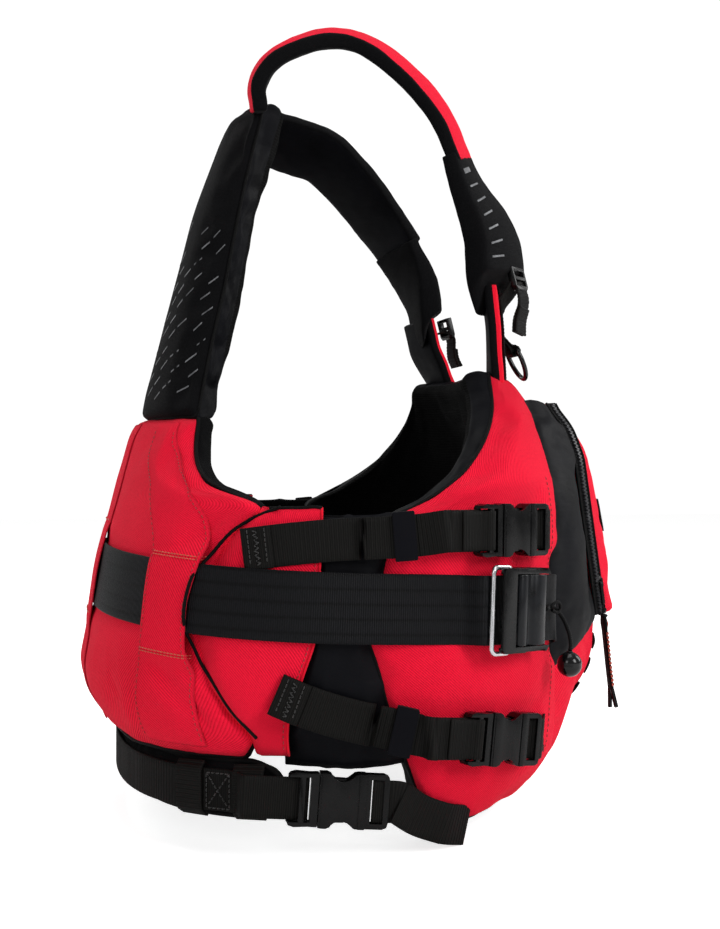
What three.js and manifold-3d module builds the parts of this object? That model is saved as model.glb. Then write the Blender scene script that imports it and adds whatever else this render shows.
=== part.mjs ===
// Rescue life jacket, as a scene graph of named meshes, in millimetres.
// +Z is up, -Y is the wearer's front and -X the wearer's right.
// The origin is where the jacket hangs: between its shoulder straps, level with their undersides.
import * as THREE from "three";
import { mergeVertices } from "three/addons/utils/BufferGeometryUtils.js";
import Module from "manifold-3d";

const wasm = await Module();
wasm.setup();

// ---- driving dimensions ----
const GAP = 0.4; // between parts that touch
const LOFT = 1.6; // how far a cloth piece lies off the pad under it
const BACK_FOAM = 31; // whole thickness of the back pad, covers included
const FRONT_FOAM = 36;
const CLOTH = 2;
const SIDE_WEB = 30; // width of the side and waist webbing
const HARNESS_WEB = 50;
const WEB = 1.8; // thickness of all webbing
const SQUARENESS = 2.4; // of the jacket's horizontal sections: 2 is an ellipse

// Horizontal sections of the jacket's outer face: [height, half width, depth].
const BACK = [
  [-548, 192, 178], [-505, 203, 198], [-465, 206, 190], [-415, 204, 183], [-350, 196, 165],
  [-320, 146, 157], [-283, 118, 147], [-200, 96, 124], [-125, 88, 105], [-46, 88, 76],
];
const FRONT = [
  [-603, 178, 168], [-575, 190, 183], [-540, 198, 187], [-470, 206, 188], [-372, 203, 188],
  [-342, 190, 186], [-310, 172, 177], [-285, 158, 165], [-262, 148, 148],
];

// The pads' side edges: [height, angle round the body], 0 degrees at the spine and 180 at the breastbone.
const BACK_EDGE = [
  [-546, 64], [-531, 68], [-512, 63], [-490, 58], [-460, 53.5], [-435, 53], [-405, 57],
  [-386, 60], [-373, 65], [-366, 68], [-358, 58], [-350, 47], [-334, 43], [-318, 42], [-299, 42],
];
const YOKE_EDGE = [
  [-298, 42], [-283, 42], [-240, 42], [-200, 43], [-160, 43], [-125, 43], [-80, 40], [-48, 38],
];
const FRONT_EDGE = [
  [-602, 109], [-590, 103], [-575, 99], [-551, 96], [-505, 92], [-460, 89.5], [-411, 91.5],
  [-372, 93.5], [-362, 101], [-342, 111], [-310, 124], [-285, 134], [-264, 143],
];

// The pockets on the chest: [height, half width and depth at the seam, half width and depth of the front].
// The upper one's front edge is the zip, which is straight up to the height of -330.
const POCKET = [
  [-462, 128, -170, 62, -226], [-396, 124, -174, 60.5, -217], [-330, 114, -171, 59, -208],
  [-305, 104, -164, 54, -200], [-284, 88, -158, 44, -187],
];
const FACE_BULGE = [[-462, 30], [-396, 29], [-330, 24], [-305, 18], [-284, 6]];
const LOWER_POCKET = [
  [-603, 80, -172, 46, -180], [-584, 100, -174, 54, -190], [-556, 114, -174, 58, -203],
  [-518, 124, -173, 60, -217], [-490, 127, -172, 62, -225], [-464, 128, -170, 62, -226],
];

const radians = THREE.MathUtils.degToRad;
const vec = (x, y, z) => new THREE.Vector3(x, y, z);
const SIDES = [["right", -1], ["left", 1]];
const range = (count, first, last) =>
  Array.from({ length: count + 1 }, (_, i) => THREE.MathUtils.lerp(first, last, i / count));

// ---- the body's outer face ----

// The values of a table of rows [key, values...] at a key, straight between its rows.
function readTable(table, key) {
  const rows = [...table].sort((p, q) => p[0] - q[0]);
  let i = rows.findIndex((row) => row[0] >= key);
  if (i < 0) i = rows.length - 1;
  i = Math.max(i, 1);
  const share = THREE.MathUtils.clamp((key - rows[i - 1][0]) / (rows[i][0] - rows[i - 1][0]), 0, 1);
  return rows[i].map((value, k) => THREE.MathUtils.lerp(rows[i - 1][k], value, share));
}

// A point at an angle and height, so far outside the outer face (inside it if negative), on one side.
function onBody(degrees, z, outside = 0, side = -1) {
  const [, a, b] = readTable(degrees < 90 ? BACK : FRONT, z);
  const squared = (value) => Math.sign(value) * Math.abs(value) ** (2 / SQUARENESS);
  const x = squared(Math.sin(radians(degrees)));
  const y = squared(Math.cos(radians(degrees)));
  const slope = (value) => Math.sign(value) * Math.abs(value) ** (SQUARENESS - 1);
  const normal = vec(slope(x) / a, slope(y) / b, 0).normalize();
  const point = vec(a * x, b * y, z).addScaledVector(normal, outside);
  point.x *= side;
  return point;
}

// ---- solids ----

// A closed geometry from vertices and triangles, turned to face out.
function closedGeometry(points, triangles) {
  const volume = triangles.reduce(
    (sum, [a, b, c]) => sum + points[a].dot(points[b].clone().cross(points[c])), 0);
  const geometry = new THREE.BufferGeometry().setFromPoints(points);
  geometry.setIndex(triangles.flatMap(([a, b, c]) => (volume < 0 ? [a, c, b] : [a, b, c])));
  return geometry;
}

// A solid between two grids of points of the same size.
function slab(outer, inner) {
  const rows = outer.length - 1;
  const columns = outer[0].length - 1;
  const half = (rows + 1) * (columns + 1);
  const at = (i, j) => i * (columns + 1) + j;
  const triangles = [];
  const quad = (a, b, c, d) => triangles.push([a, b, c], [a, c, d]);
  for (let i = 0; i < rows; i++) {
    for (let j = 0; j < columns; j++) {
      quad(at(i, j), at(i, j + 1), at(i + 1, j + 1), at(i + 1, j));
      quad(half + at(i, j), half + at(i + 1, j), half + at(i + 1, j + 1), half + at(i, j + 1));
    }
    quad(at(i, 0), at(i + 1, 0), half + at(i + 1, 0), half + at(i, 0));
    quad(at(i + 1, columns), at(i, columns), half + at(i, columns), half + at(i + 1, columns));
  }
  for (let j = 0; j < columns; j++) {
    quad(at(0, j + 1), at(0, j), half + at(0, j), half + at(0, j + 1));
    quad(at(rows, j), at(rows, j + 1), half + at(rows, j + 1), half + at(rows, j));
  }
  return closedGeometry([...outer, ...inner].flat(), triangles);
}

// Booleans.
function toManifold(geometry) {
  const bare = geometry.clone();
  bare.deleteAttribute("normal");
  bare.deleteAttribute("uv");
  const merged = mergeVertices(bare, 1e-4);
  return new wasm.Manifold(new wasm.Mesh({
    numProp: 3,
    vertProperties: new Float32Array(merged.attributes.position.array),
    triVerts: new Uint32Array(merged.index.array),
  }));
}
function toGeometry(manifold) {
  const mesh = manifold.getMesh();
  return new THREE.BufferGeometry()
    .setAttribute("position", new THREE.BufferAttribute(mesh.vertProperties, 3))
    .setIndex(new THREE.BufferAttribute(mesh.triVerts, 1));
}
const join = (...all) => toGeometry(all.map(toManifold).reduce((a, b) => a.add(b)));
const cut = (body, ...tools) =>
  toGeometry(tools.map(toManifold).reduce((a, b) => a.subtract(b), toManifold(body)));

// A box between two corners, and a plate of a rounded rectangle's outline.
function block(x0, x1, y0, y1, z0, z1) {
  return new THREE.BoxGeometry(x1 - x0, y1 - y0, z1 - z0)
    .translate((x0 + x1) / 2, (y0 + y1) / 2, (z0 + z1) / 2);
}
function plate(x0, x1, halfY, z0, z1, radius) {
  const shape = new THREE.Shape();
  shape.moveTo(x0 + radius, -halfY);
  shape.lineTo(x1 - radius, -halfY).absarc(x1 - radius, radius - halfY, radius, -Math.PI / 2, 0);
  shape.lineTo(x1, halfY - radius).absarc(x1 - radius, halfY - radius, radius, 0, Math.PI / 2);
  shape.lineTo(x0 + radius, halfY).absarc(x0 + radius, halfY - radius, radius, Math.PI / 2, Math.PI);
  shape.lineTo(x0, radius - halfY).absarc(x0 + radius, radius - halfY, radius, Math.PI, 1.5 * Math.PI);
  const depth = z1 - z0;
  const settings = { depth, bevelEnabled: false, curveSegments: 2 };
  return new THREE.ExtrudeGeometry(shape, settings).translate(0, 0, z0);
}

// A pad across the body from one side edge to the mirrored one.
function pad(middle, edge, thickness, columns) {
  const grid = (depth) => edge.map(([z, degrees]) =>
    range(columns, -1, 1).map((share) => {
      const away = middle === 0 ? degrees : 180 - degrees;
      const angle = Math.abs(middle - away * Math.abs(share));
      return onBody(angle, z, -depth, Math.sign(share) || 1);
    }));
  return slab(grid(0), grid(thickness));
}

// Cloth on one side of the body: rows of [height, first angle, last angle, height off the face].
function strip(rows, columns, thickness, side) {
  const grid = (extra) => rows.map(([z, first, last, off]) =>
    range(columns, first, last).map((degrees) => onBody(degrees, z, off + extra, side)));
  return slab(grid(thickness), grid(0));
}

// Webbing through stations [point, direction across its width], bent smoothly.
function webbing(stations, width, thickness, steps) {
  const line = new THREE.CatmullRomCurve3(stations.map(([at]) => at), false, "centripetal");
  const acrossAt = (share) => {
    const place = share * (stations.length - 1);
    const i = Math.min(Math.floor(place), stations.length - 2);
    return stations[i][1].clone().lerp(stations[i + 1][1], place - i);
  };
  const outer = [];
  const inner = [];
  for (const share of range(steps, 0, 1)) {
    const centre = line.getPoint(share);
    const along = line.getTangent(share);
    const across = acrossAt(share).addScaledVector(along, -acrossAt(share).dot(along)).normalize();
    const out = along.clone().cross(across);
    const row = (lift) => [-0.5, 0.5].map((w) =>
      centre.clone().addScaledVector(across, w * width).addScaledVector(out, lift));
    outer.push(row(thickness / 2));
    inner.push(row(-thickness / 2));
  }
  return slab(outer, inner);
}

// A tube round a closed flat loop in the XZ plane.
function closedTube(path, radius, steps, sides) {
  const ring = (i) => {
    const share = (i % steps) / steps;
    const centre = path.getPoint(share);
    const along = path.getPoint((share + 0.004) % 1).sub(path.getPoint((share + 0.996) % 1)).normalize();
    const out = along.clone().cross(vec(0, 1, 0));
    return Array.from({ length: sides }, (_, j) => {
      const turn = (2 * Math.PI * j) / sides;
      return centre.clone().addScaledVector(out, radius * Math.cos(turn))
        .add(vec(0, radius * Math.sin(turn), 0));
    });
  };
  const points = Array.from({ length: steps }, (_, i) => ring(i)).flat();
  const at = (i, j) => (i % steps) * sides + (j % sides);
  const triangles = [];
  for (let i = 0; i < steps; i++) {
    for (let j = 0; j < sides; j++) {
      triangles.push([at(i, j), at(i + 1, j), at(i + 1, j + 1)]);
      triangles.push([at(i, j), at(i + 1, j + 1), at(i, j + 1)]);
    }
  }
  return closedGeometry(points, triangles);
}

// ---- materials ----
const cloth = (color, roughness) => new THREE.MeshStandardMaterial({ color, roughness, metalness: 0 });
const RED = cloth(0xd8172c, 0.85);
const BLACK = cloth(0x16161a, 0.75);
const WEBBING = cloth(0x121215, 0.6);
const PLASTIC = cloth(0x0d0d0f, 0.35);
const STEEL = new THREE.MeshStandardMaterial({ color: 0xb9bcc0, roughness: 0.25, metalness: 1 });

const jacket = new THREE.Group();
function add(parent, name, geometry, material) {
  const mesh = new THREE.Mesh(geometry, material);
  mesh.name = name;
  parent.add(mesh);
  return mesh;
}

// A group at a point: its x runs forwards and its z points out.
function groupAt(point, forwards, out) {
  const group = new THREE.Group();
  const up = out.clone().cross(forwards);
  group.applyMatrix4(new THREE.Matrix4().makeBasis(forwards, up, out).setPosition(point));
  jacket.add(group);
  group.updateMatrixWorld(true);
  return group;
}

// A group on the body, facing forwards round it, and turned down towards the front by a slope.
function fitting(degrees, z, off, side, slope = 0) {
  const forwards = onBody(degrees + 1, z, 0, side).sub(onBody(degrees - 1, z, 0, side)).normalize();
  const out = vec(0, 0, side).cross(forwards).normalize();
  forwards.applyAxisAngle(out, side * radians(slope));
  return groupAt(onBody(degrees, z, off, side), forwards, out);
}

// ---- back: pad, yoke, the cloth over the harness belt, side wings and the gussets under the arms ----
add(jacket, "back_pad", pad(0, BACK_EDGE, BACK_FOAM, 12), RED);
add(jacket, "yoke_pad", pad(0, YOKE_EDGE, BACK_FOAM, 6), BLACK);

const OVER_BELT = 6.6;
const BELT_OFF = 3.9;
const SPINE = [
  [-540, LOFT], [-505, LOFT], [-478, LOFT], [-465, OVER_BELT], [-458, OVER_BELT], [-415, OVER_BELT],
  [-384, OVER_BELT], [-372, LOFT], [-350, LOFT], [-320, LOFT], [-304, LOFT],
];
const spineRow = (z, off) =>
  [[7, -1], [4, -1], [4, 1], [7, 1]].map(([degrees, side]) => onBody(degrees, z, off, side));
add(jacket, "spine_cover", slab(
  SPINE.map(([z, off]) => spineRow(z, off + CLOTH)), SPINE.map(([z, off]) => spineRow(z, off))), RED);

const TUNNEL = [
  [-538, 36, 56, LOFT], [-505, 38, 55, LOFT], [-484, 38, 55, LOFT], [-474, 38, 53, OVER_BELT],
  [-465, 38, 52, OVER_BELT], [-435, 38, 51.5, OVER_BELT], [-415, 38, 53, OVER_BELT],
  [-402, 38, 54, OVER_BELT],
  [-390, 37, 55, LOFT], [-370, 33, 52, LOFT], [-350, 29, 43, LOFT],
  [-320, 25, 38, LOFT], [-304, 25, 37, LOFT],
];
const WING = [
  [-543, 69.5, 75], [-531, 69.5, 75], [-512, 64.5, 76], [-490, 59.5, 78], [-460, 55, 80.5], [-435, 54.5, 81],
  [-405, 58.5, 81], [-386, 61.5, 81], [-373, 66.5, 81], [-367, 69.5, 81],
];
const UNDER_ARM = [
  [-552, 76.5, 94], [-531, 76.5, 92.5], [-512, 77.5, 91], [-490, 79.5, 90], [-460, 82, 88], [-435, 82.5, 89],
  [-411, 82.5, 90], [-386, 82.5, 91], [-372, 82.5, 92],
];
for (const [name, side] of SIDES) {
  add(jacket, `tunnel_${name}`, strip(TUNNEL, 3, CLOTH, side), RED);
  add(jacket, `side_wing_${name}`, strip(WING.map((row) => [...row, -5]), 3, 4.6, side), RED);
  add(jacket, `under_arm_${name}`, strip(UNDER_ARM.map((row) => [...row, -6]), 2, 4, side), BLACK);
}

// ---- front: pad, chest pocket, zip and lower pocket ----
add(jacket, "front_pad", pad(180, FRONT_EDGE, FRONT_FOAM, 14), RED);

// The height of the front pad's face at a distance from the middle, cleared.
function chest(x, z) {
  const [, a, b] = readTable(FRONT, z);
  return -b * (1 - (Math.abs(x) / a) ** SQUARENESS) ** (1 / SQUARENESS) - 5.5;
}

// A pocket between the chest and its own outline, with a flat front as wide as the zip.
function pocket(table, step) {
  const columns = [[1, 0], [0.5, 0.5], [0, 1], [0, 0.5], [0, 0]];
  const mirrored = columns.slice(0, 4).reverse();
  const all = [...columns.map(([w, f]) => [w, f, -1]), ...mirrored.map(([w, f]) => [w, f, 1])];
  const points = (row, front) => all.map(([seam, flat, side]) => {
    const [z, seamX, seamY, zipX, zipY] = row;
    const wide = seam > 0 ? THREE.MathUtils.lerp(zipX + 6, seamX, seam) : zipX * flat + (flat === 1 ? 6 : 0);
    const y = seam > 0 ? THREE.MathUtils.lerp(zipY + step, seamY, seam ** 1.5) : zipY + step;
    return vec(side * wide, front ? y : Math.max(chest(wide, z), y + 3), z);
  });
  return slab(table.map((row) => points(row, true)), table.map((row) => points(row, false)));
}
add(jacket, "pocket_gusset", pocket(POCKET, 5), BLACK);
add(jacket, "lower_pocket", pocket(LOWER_POCKET, 0), RED);

const faceRow = (z) => {
  const [, , , zipX, zipY] = readTable(POCKET, z);
  return { zipX, base: zipY + 5 - 1, bulge: readTable(FACE_BULGE, z)[1] };
};
add(jacket, "pocket_face", slab(
  ...[1, 0].map((raised) => FACE_BULGE.map(([z]) =>
    [-1, -0.94, -0.55, 0, 0.55, 0.94, 1].map((share) => {
      const { zipX, base, bulge } = faceRow(z);
      const height = [0.12, 0.45, 0.9, 1][[1, 0.94, 0.55, 0].indexOf(Math.abs(share))];
      return vec(share * (zipX - 5), base - raised * bulge * height, z);
    })))),
RED);

// The zip runs up one side of the pocket's face, over its top and down the other.
const ZIP_PATH = [[62, -462], [59, -330], [54, -305], [49, -294.5], [44, -284]];
function zipPoint(x, z, lift) {
  const [, , , , zipY] = readTable(POCKET, z);
  return vec(x, zipY + 5 - 0.8 - lift, z);
}
for (const [name, side] of SIDES) {
  add(jacket, `zip_${name}`, slab(
    ...[3.2, 0].map((lift) =>
      ZIP_PATH.map(([x, z]) => [-3.5, 3.5].map((w) => zipPoint(side * (x + w), z, lift))))),
  BLACK);
}

// A round cord through a list of points.
function cordGeometry(points, radius, steps) {
  const curve = new THREE.CatmullRomCurve3(points.map((p) => vec(...p)));
  const round = new THREE.Shape().absarc(0, 0, radius, 0, 2 * Math.PI);
  const settings = { steps, extrudePath: curve, bevelEnabled: false, curveSegments: 4 };
  return new THREE.ExtrudeGeometry(round, settings);
}

// ---- zip slider with its pull and the knotted cord loop on it ----
const zipTop = zipPoint(-59, -330, 3.2);
const zipFoot = zipPoint(-62, -462, 3.2);
const zipAxis = zipTop.clone().sub(zipFoot).normalize();
const slider = new THREE.Group();
slider.position.copy(zipFoot).addScaledVector(zipAxis, 26);
const zipOut = vec(0, -1, 0).addScaledVector(zipAxis, zipAxis.y).normalize();
slider.quaternion.setFromRotationMatrix(
  new THREE.Matrix4().makeBasis(zipOut.clone().cross(zipAxis).multiplyScalar(-1), zipAxis, zipOut));
jacket.add(slider);
const PULL_Z = 5.2; // height of the pull's pivot off the zip
add(slider, "zip_slider", cut(
  join(block(-4.5, 4.5, -7, 7, GAP, 3), block(-2, 2, -6, 6, 2.5, 8.4)),
  block(-3, 3, -2.4, 2.4, PULL_Z - 2, PULL_Z + 1.6)), PLASTIC);
const pivotBar = new THREE.CylinderGeometry(1, 1, 8, 10).rotateZ(Math.PI / 2).translate(0, 0, PULL_Z);
const pullBlock = (x0, x1, y0, y1) => block(x0, x1, y0, y1, PULL_Z - 1.2, PULL_Z + 1.2);
add(slider, "zip_pull", join(
  pivotBar, pullBlock(-5.4, -3, -16, 1.2), pullBlock(3, 5.4, -16, 1.2), pullBlock(-5.4, 5.4, -19, -14)),
PLASTIC);

// The stitched cloth tab through the pull, which hangs down over the lower pocket.
const TAB = [[-20.6, 5.2], [-45, 4.2], [-70, 3.3], [-90, 2.8], [-107, 2.5]];
add(slider, "pull_tab", webbing(TAB.map(([y, z]) => [vec(0, y, z), vec(1, 0, 0)]), 8, 3, 8), WEBBING);

// ---- shoulders: straps, pads at their front ends, and the webs down to the front pad ----
// Stations are [distance from the middle, y, z, roll of the strap's face outwards in degrees].
const SHOULDERS = {
  right: {
    strap: [
      [64, 64, -46.5, -6], [66, 65, -37, -3], [70, 57, -19, 6], [74, 36, -4.5, 15], [76, 7, 4, 20],
      [78, -21, 0, 27], [79, -48, -17, 29], [79, -70, -37, 30], [79, -87, -61, 28],
      [79, -95, -79, 28],
    ],
    pad: [
      [79, -98, -84.5, 30], [80, -107, -110, 34], [80, -120, -141, 40], [80, -126, -160, 44],
      [80, -128, -180, 45], [80, -130, -203, 44],
    ],
    web: [
      [78, -126, -206.5, 15], [78, -128, -225, 15], [77, -129, -245, 14], [76, -130, -261.6, 12],
    ],
    tail: [
      [80, -148, -186, 42], [80, -153, -205, 42], [79, -148, -229, 38],
    ],
  },
  left: {
    strap: [
      [62, 60, -46.5, 5], [68, 56, -38, 15], [72, 45, -36, 28], [75, 30, -42, 38],
      [75, 7, -49, 40], [75, -14, -56, 39], [75, -35, -75, 36], [75, -59, -102, 32],
      [76, -80, -130, 26],
    ],
    pad: [
      [76, -84, -136, 22], [76, -96, -157, 12], [76, -107, -185, -2], [75, -113, -216, -10],
    ],
    web: [
      [75, -108, -219, 14], [75, -111, -231, 14], [75, -118, -245, 12], [75, -125.5, -260, 7],
    ],
    tail: [
      [72, -131, -212, 5], [72, -135, -228, 5], [72, -139, -246, 5],
    ],
  },
};
const STRAP_SIZE = { strap: [56, 11.5, 20], pad: [64, 18, 10], web: [44, 8, 4], tail: [20, 3.6, 4] };
function shoulderPiece(side, sign, piece) {
  const rows = SHOULDERS[side][piece];
  const places = rows.map(([x, y, z]) => vec(sign * x, y, z));
  const stations = rows.map(([, , , roll], i) => {
    const next = places[Math.min(i + 1, rows.length - 1)];
    const along = next.clone().sub(places[Math.max(i - 1, 0)]).normalize();
    const level = vec(sign, 0, 0).addScaledVector(along, -sign * along.x).normalize();
    return [places[i], level.applyAxisAngle(along, -sign * radians(roll))];
  });
  return webbing(stations, ...STRAP_SIZE[piece]);
}
for (const [name, side] of SIDES) {
  add(jacket, `shoulder_strap_${name}`, shoulderPiece(name, side, "strap"), RED);
  add(jacket, `strap_pad_${name}`, shoulderPiece(name, side, "pad"), BLACK);
  add(jacket, `front_web_${name}`, shoulderPiece(name, side, "web"), BLACK);
  add(jacket, `strap_tail_${name}`, shoulderPiece(name, side, "tail"), WEBBING);
}

// The ring in front of the right shoulder: a D of wire whose bar turns in the eye of a webbing loop.
const RING_BAR = [-70, -147, -243];
const RING_LEAN = 25; // degrees: it rests against the chest
const ringPlace = new THREE.Group();
ringPlace.position.set(...RING_BAR);
ringPlace.rotation.x = -radians(RING_LEAN);
jacket.add(ringPlace);
const eye = new THREE.CylinderGeometry(4.4, 4.4, 18, 12).rotateZ(Math.PI / 2);
const eyeHole = new THREE.CylinderGeometry(2.4, 2.4, 20, 12).rotateZ(Math.PI / 2);
add(ringPlace, "ring_loop", cut(join(eye, block(-9, 9, 0, 4.2, -1, 14)), eyeHole), WEBBING);
const ringPath = new THREE.CurvePath();
const corner = (x, z) => vec(x, 0, z);
ringPath.add(new THREE.LineCurve3(corner(-13, 0), corner(13, 0)));
ringPath.add(new THREE.QuadraticBezierCurve3(corner(13, 0), corner(15, -14), corner(7, -22)));
ringPath.add(new THREE.QuadraticBezierCurve3(corner(7, -22), corner(0, -27), corner(-7, -22)));
ringPath.add(new THREE.QuadraticBezierCurve3(corner(-7, -22), corner(-15, -14), corner(-13, 0)));
add(ringPlace, "ring", closedTube(ringPath, 2, 28, 8), PLASTIC);

// ---- harness belt, its steel frame and cam buckle ----
const beltHeight = (degrees) => -422 - 19 * Math.min(1, degrees / 110);
const station = (at, up = vec(0, 0, 1)) => [at, up];
const cam = fitting(124, -443, 8, -1, 3);
const inGroup = (group, x, y = 0, z = 0) => vec(x, y, z).applyMatrix4(group.matrixWorld);
const onBelt = (degrees, side) => {
  const z = beltHeight(degrees);
  const up = onBody(degrees, z + 20, 0, side).sub(onBody(degrees, z - 20, 0, side));
  return station(onBody(degrees, z, BELT_OFF, side), up);
};
const beltStations = [
  ...[138, 128, 118, 108, 98, 88, 76, 64, 57, 50, 43, 36, 24, 12].map((degrees) => onBelt(degrees, 1)),
  ...[0, 12, 24, 36, 43, 50, 57, 64, 76, 88, 98, 106].map((degrees) => onBelt(degrees, -1)),
  ...[-50, -46, -20, 0, 16].map((x) => station(inGroup(cam, x))),
];
add(jacket, "harness_belt", webbing(beltStations, HARNESS_WEB, WEB, 66), WEBBING);
add(cam, "cam_frame", cut(plate(-47, -22.6, 33, 1.5, 5, 5), plate(-43, -26.6, 29, 0, 6, 2)), STEEL);
add(cam, "cam_body", cut(
  join(plate(-21.6, 18, 31, -5.4, 9, 5), plate(-40, -8, 31, 5.4, 9, 3)),
  block(-30, 50, -26.5, 26.5, -1.6, 1.6),
  block(-23, 50, -26.5, 26.5, 1, 12)), PLASTIC);
const LEVER_PIVOT = [-17, 6.4];
add(cam, "cam_lever", join(
  new THREE.CylinderGeometry(4, 4, 52, 16).translate(LEVER_PIVOT[0], 0, LEVER_PIVOT[1]),
  block(LEVER_PIVOT[0], 17, -26, 26, 4, 9),
  block(-6, -2, -26, 26, 8.6, 10.6), block(6, 12, -26, 26, 8.6, 10.6)), PLASTIC);
add(jacket, "cam_anchor", webbing(
  [station(inGroup(cam, 18.6, 0, -4)), station(inGroup(cam, 32, 0, -4.4)), station(inGroup(cam, 44, 0, -6)),
    station(onBody(143.5, -450, 2.6)), station(onBody(146, -450, 2.6))], HARNESS_WEB, WEB, 5), WEBBING);

// The cord from the lever's tip to the ball that pulls it open.
const CORD_POINTS = [
  [17.6, 0, 5.6], [20.5, 0.3, 4.6], [23.5, 0.6, 2.6], [26.5, 0.9, 0.6], [30, 1.1, -0.8], [33.5, 0.8, -1.4],
  [37, -0.2, -1.4], [40, -2, -0.8], [42.4, -4.6, 0.4], [44, -8, 2.2], [44.8, -12, 4.4], [45, -16, 6.4],
  [44.8, -20, 8.2], [44.3, -24, 9.6], [43.5, -28, 10.6], [42.4, -32, 11],
];
add(cam, "toggle_cord", cordGeometry(CORD_POINTS, 1.6, 20), BLACK);
add(cam, "toggle_ball", new THREE.SphereGeometry(9.5, 14, 9).translate(42, -42, 11), PLASTIC);

// ---- side straps and waist belt: side-release buckles ----
// In a buckle's group the webbing's middle is z = 0 and the male half pulls out towards -x.
const MOUTH = -13;
const STRAP_OFF = 4.2;
function maleHalf() {
  const rails = [[-19, -16], [16, 19]].map(([y0, y1]) => block(-35, -14, y0, y1, -4.5, 4.5));
  const prongs = [[-15.6, -10.5], [10.5, 15.6]].map(([y0, y1]) => block(-16, 7, y0, y1, -2.8, 2.8));
  return join(
    ...rails, block(-35, -31, -17, 17, -4.5, -1.4), block(-27, -23, -17, 17, 1.4, 4.5),
    block(-19, MOUTH - GAP, -19, 19, -4.5, 4.5), ...prongs, block(-16, 4, -2.5, 2.5, -2.2, 2.2));
}
function femaleHalf() {
  return cut(
    plate(MOUTH, 37, 19.5, -6, 6, 4),
    block(MOUTH - 1, 14, -16.2, 16.2, -3.4, 3.4),
    block(-2, 8, -25, 25, -2.8, 2.8),
    block(24, 33, -15.5, 15.5, -7, 7),
    block(20, 40, -25, 25, 4, 7), block(20, 40, -25, 25, -7, -4),
    block(30, 40, -15.5, 15.5, 0, 7));
}
const keeperRing = () => cut(plate(-7, 7, 17.6, -3.4, 3.4, 1), block(-8, 8, -15.6, 15.6, -1.9, 1.9));
const KEEPER_LIFT = 3.2; // of the strap's middle where it runs through its keeper

// Each strap: where it is sewn on behind, its route and keeper, and its buckle, as [angle, height].
const SIDE_STRAPS = {
  upper: {
    sewn: [64, -396], route: [[74, -392], [84, -389]], keeper: [94, -386.5], buckle: [119, -384], slope: 1,
  },
  lower: {
    sewn: [73.5, -496], route: [[80, -506], [87, -516]], keeper: [94, -525], buckle: [116.5, -537], slope: 7,
  },
};

// The direction across a strap that lies on the body, from one point on its route to the next.
function acrossStrap([degrees, z], from, to, side) {
  const out = onBody(degrees, z, 1, side).sub(onBody(degrees, z, 0, side));
  return out.cross(to.clone().sub(from)).multiplyScalar(side);
}
for (const [name, side] of SIDES) {
  for (const [level, strap] of Object.entries(SIDE_STRAPS)) {
    const key = `${level}_${name}`;
    const buckle = fitting(...strap.buckle, 8, side, strap.slope);
    const buckleUp = inGroup(buckle, 0, -side).sub(inGroup(buckle, 0));
    const places = [strap.sewn, ...strap.route].map(([degrees, z]) => onBody(degrees, z, STRAP_OFF, side));
    const loopAt = onBody(...strap.keeper, STRAP_OFF + KEEPER_LIFT, side);
    const forwards = inGroup(buckle, -66).sub(places[2]).normalize();
    const out = vec(0, 0, side).cross(forwards).normalize();
    const loop = groupAt(loopAt, forwards, out);
    const loopUp = inGroup(loop, 0, -side).sub(inGroup(loop, 0));
    const stations = [
      ...places.map((at, i) => station(at, acrossStrap(
        [strap.sewn, ...strap.route][i], places[Math.max(i - 1, 0)], places[i + 1] ?? loopAt, side))),
      ...[-12, 12].map((x) => station(inGroup(loop, x), loopUp)),
      ...[-66, -62, -40, -20].map((x) => station(inGroup(buckle, x), buckleUp)),
    ];
    add(jacket, `side_strap_${key}`, webbing(stations, SIDE_WEB, WEB, 24), WEBBING);
    add(buckle, `male_${key}`, maleHalf(), PLASTIC);
    add(buckle, `female_${key}`, femaleHalf(), PLASTIC);
    add(loop, `keeper_${key}`, keeperRing(), WEBBING);
  }
}

// ---- waist belt: a pad behind, its webbing, a buckle each side and a web to the front pad's hem ----
const WAIST = [[-549, -4], [-555, -2], [-582, -4], [-589, -8]];
const waistHollow = (degrees) => 8 * (1 - THREE.MathUtils.smoothstep(Math.abs(degrees), 5, 62));
const onWaist = (degrees, z, off) =>
  onBody(Math.abs(degrees), z, off - waistHollow(degrees), Math.sign(degrees) || 1);
add(jacket, "waist_pad", slab(
  ...[0, -10].map((extra) => WAIST.map(([z, off]) =>
    range(16, -73, 73).map((degrees) => onWaist(degrees, z, off + extra))))),
BLACK);
const waistBuckles = SIDES.map(([, side]) => fitting(84.5, -573, 6, side, 4));
const waistUp = (i) => inGroup(waistBuckles[i], 0, -SIDES[i][1]).sub(inGroup(waistBuckles[i], 0));
const waistStation = (i, x, lift = 0) => station(inGroup(waistBuckles[i], x, 0, lift), waistUp(i));
const waistEnd = (i) => [-20, -40, -62, -66].map((x) => waistStation(i, x));
add(jacket, "waist_web", webbing([
  ...waistEnd(0),
  ...range(12, -62, 62).map((degrees) => station(onWaist(degrees, -569, 2.2))),
  ...waistEnd(1).reverse(),
], SIDE_WEB, WEB, 44), WEBBING);
SIDES.forEach(([name, side], i) => {
  const buckle = waistBuckles[i];
  add(buckle, `male_waist_${name}`, maleHalf(), PLASTIC);
  add(buckle, `female_waist_${name}`, femaleHalf(), PLASTIC);
  add(jacket, `waist_front_${name}`, webbing([
    waistStation(i, 25, 1.4), waistStation(i, 44, 1.4),
    station(onBody(100, -588, 12, side), vec(0, -0.25, 1)),
    station(onBody(107, -597, 13, side), vec(0, -0.25, 1)),
    station(onBody(118, -603, 8, side), vec(0, -0.15, 1)),
  ], SIDE_WEB, WEB, 10), WEBBING);
});
export default jacket;
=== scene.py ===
"""Rescue life jacket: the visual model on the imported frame, in metres."""
import math
import random

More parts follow.
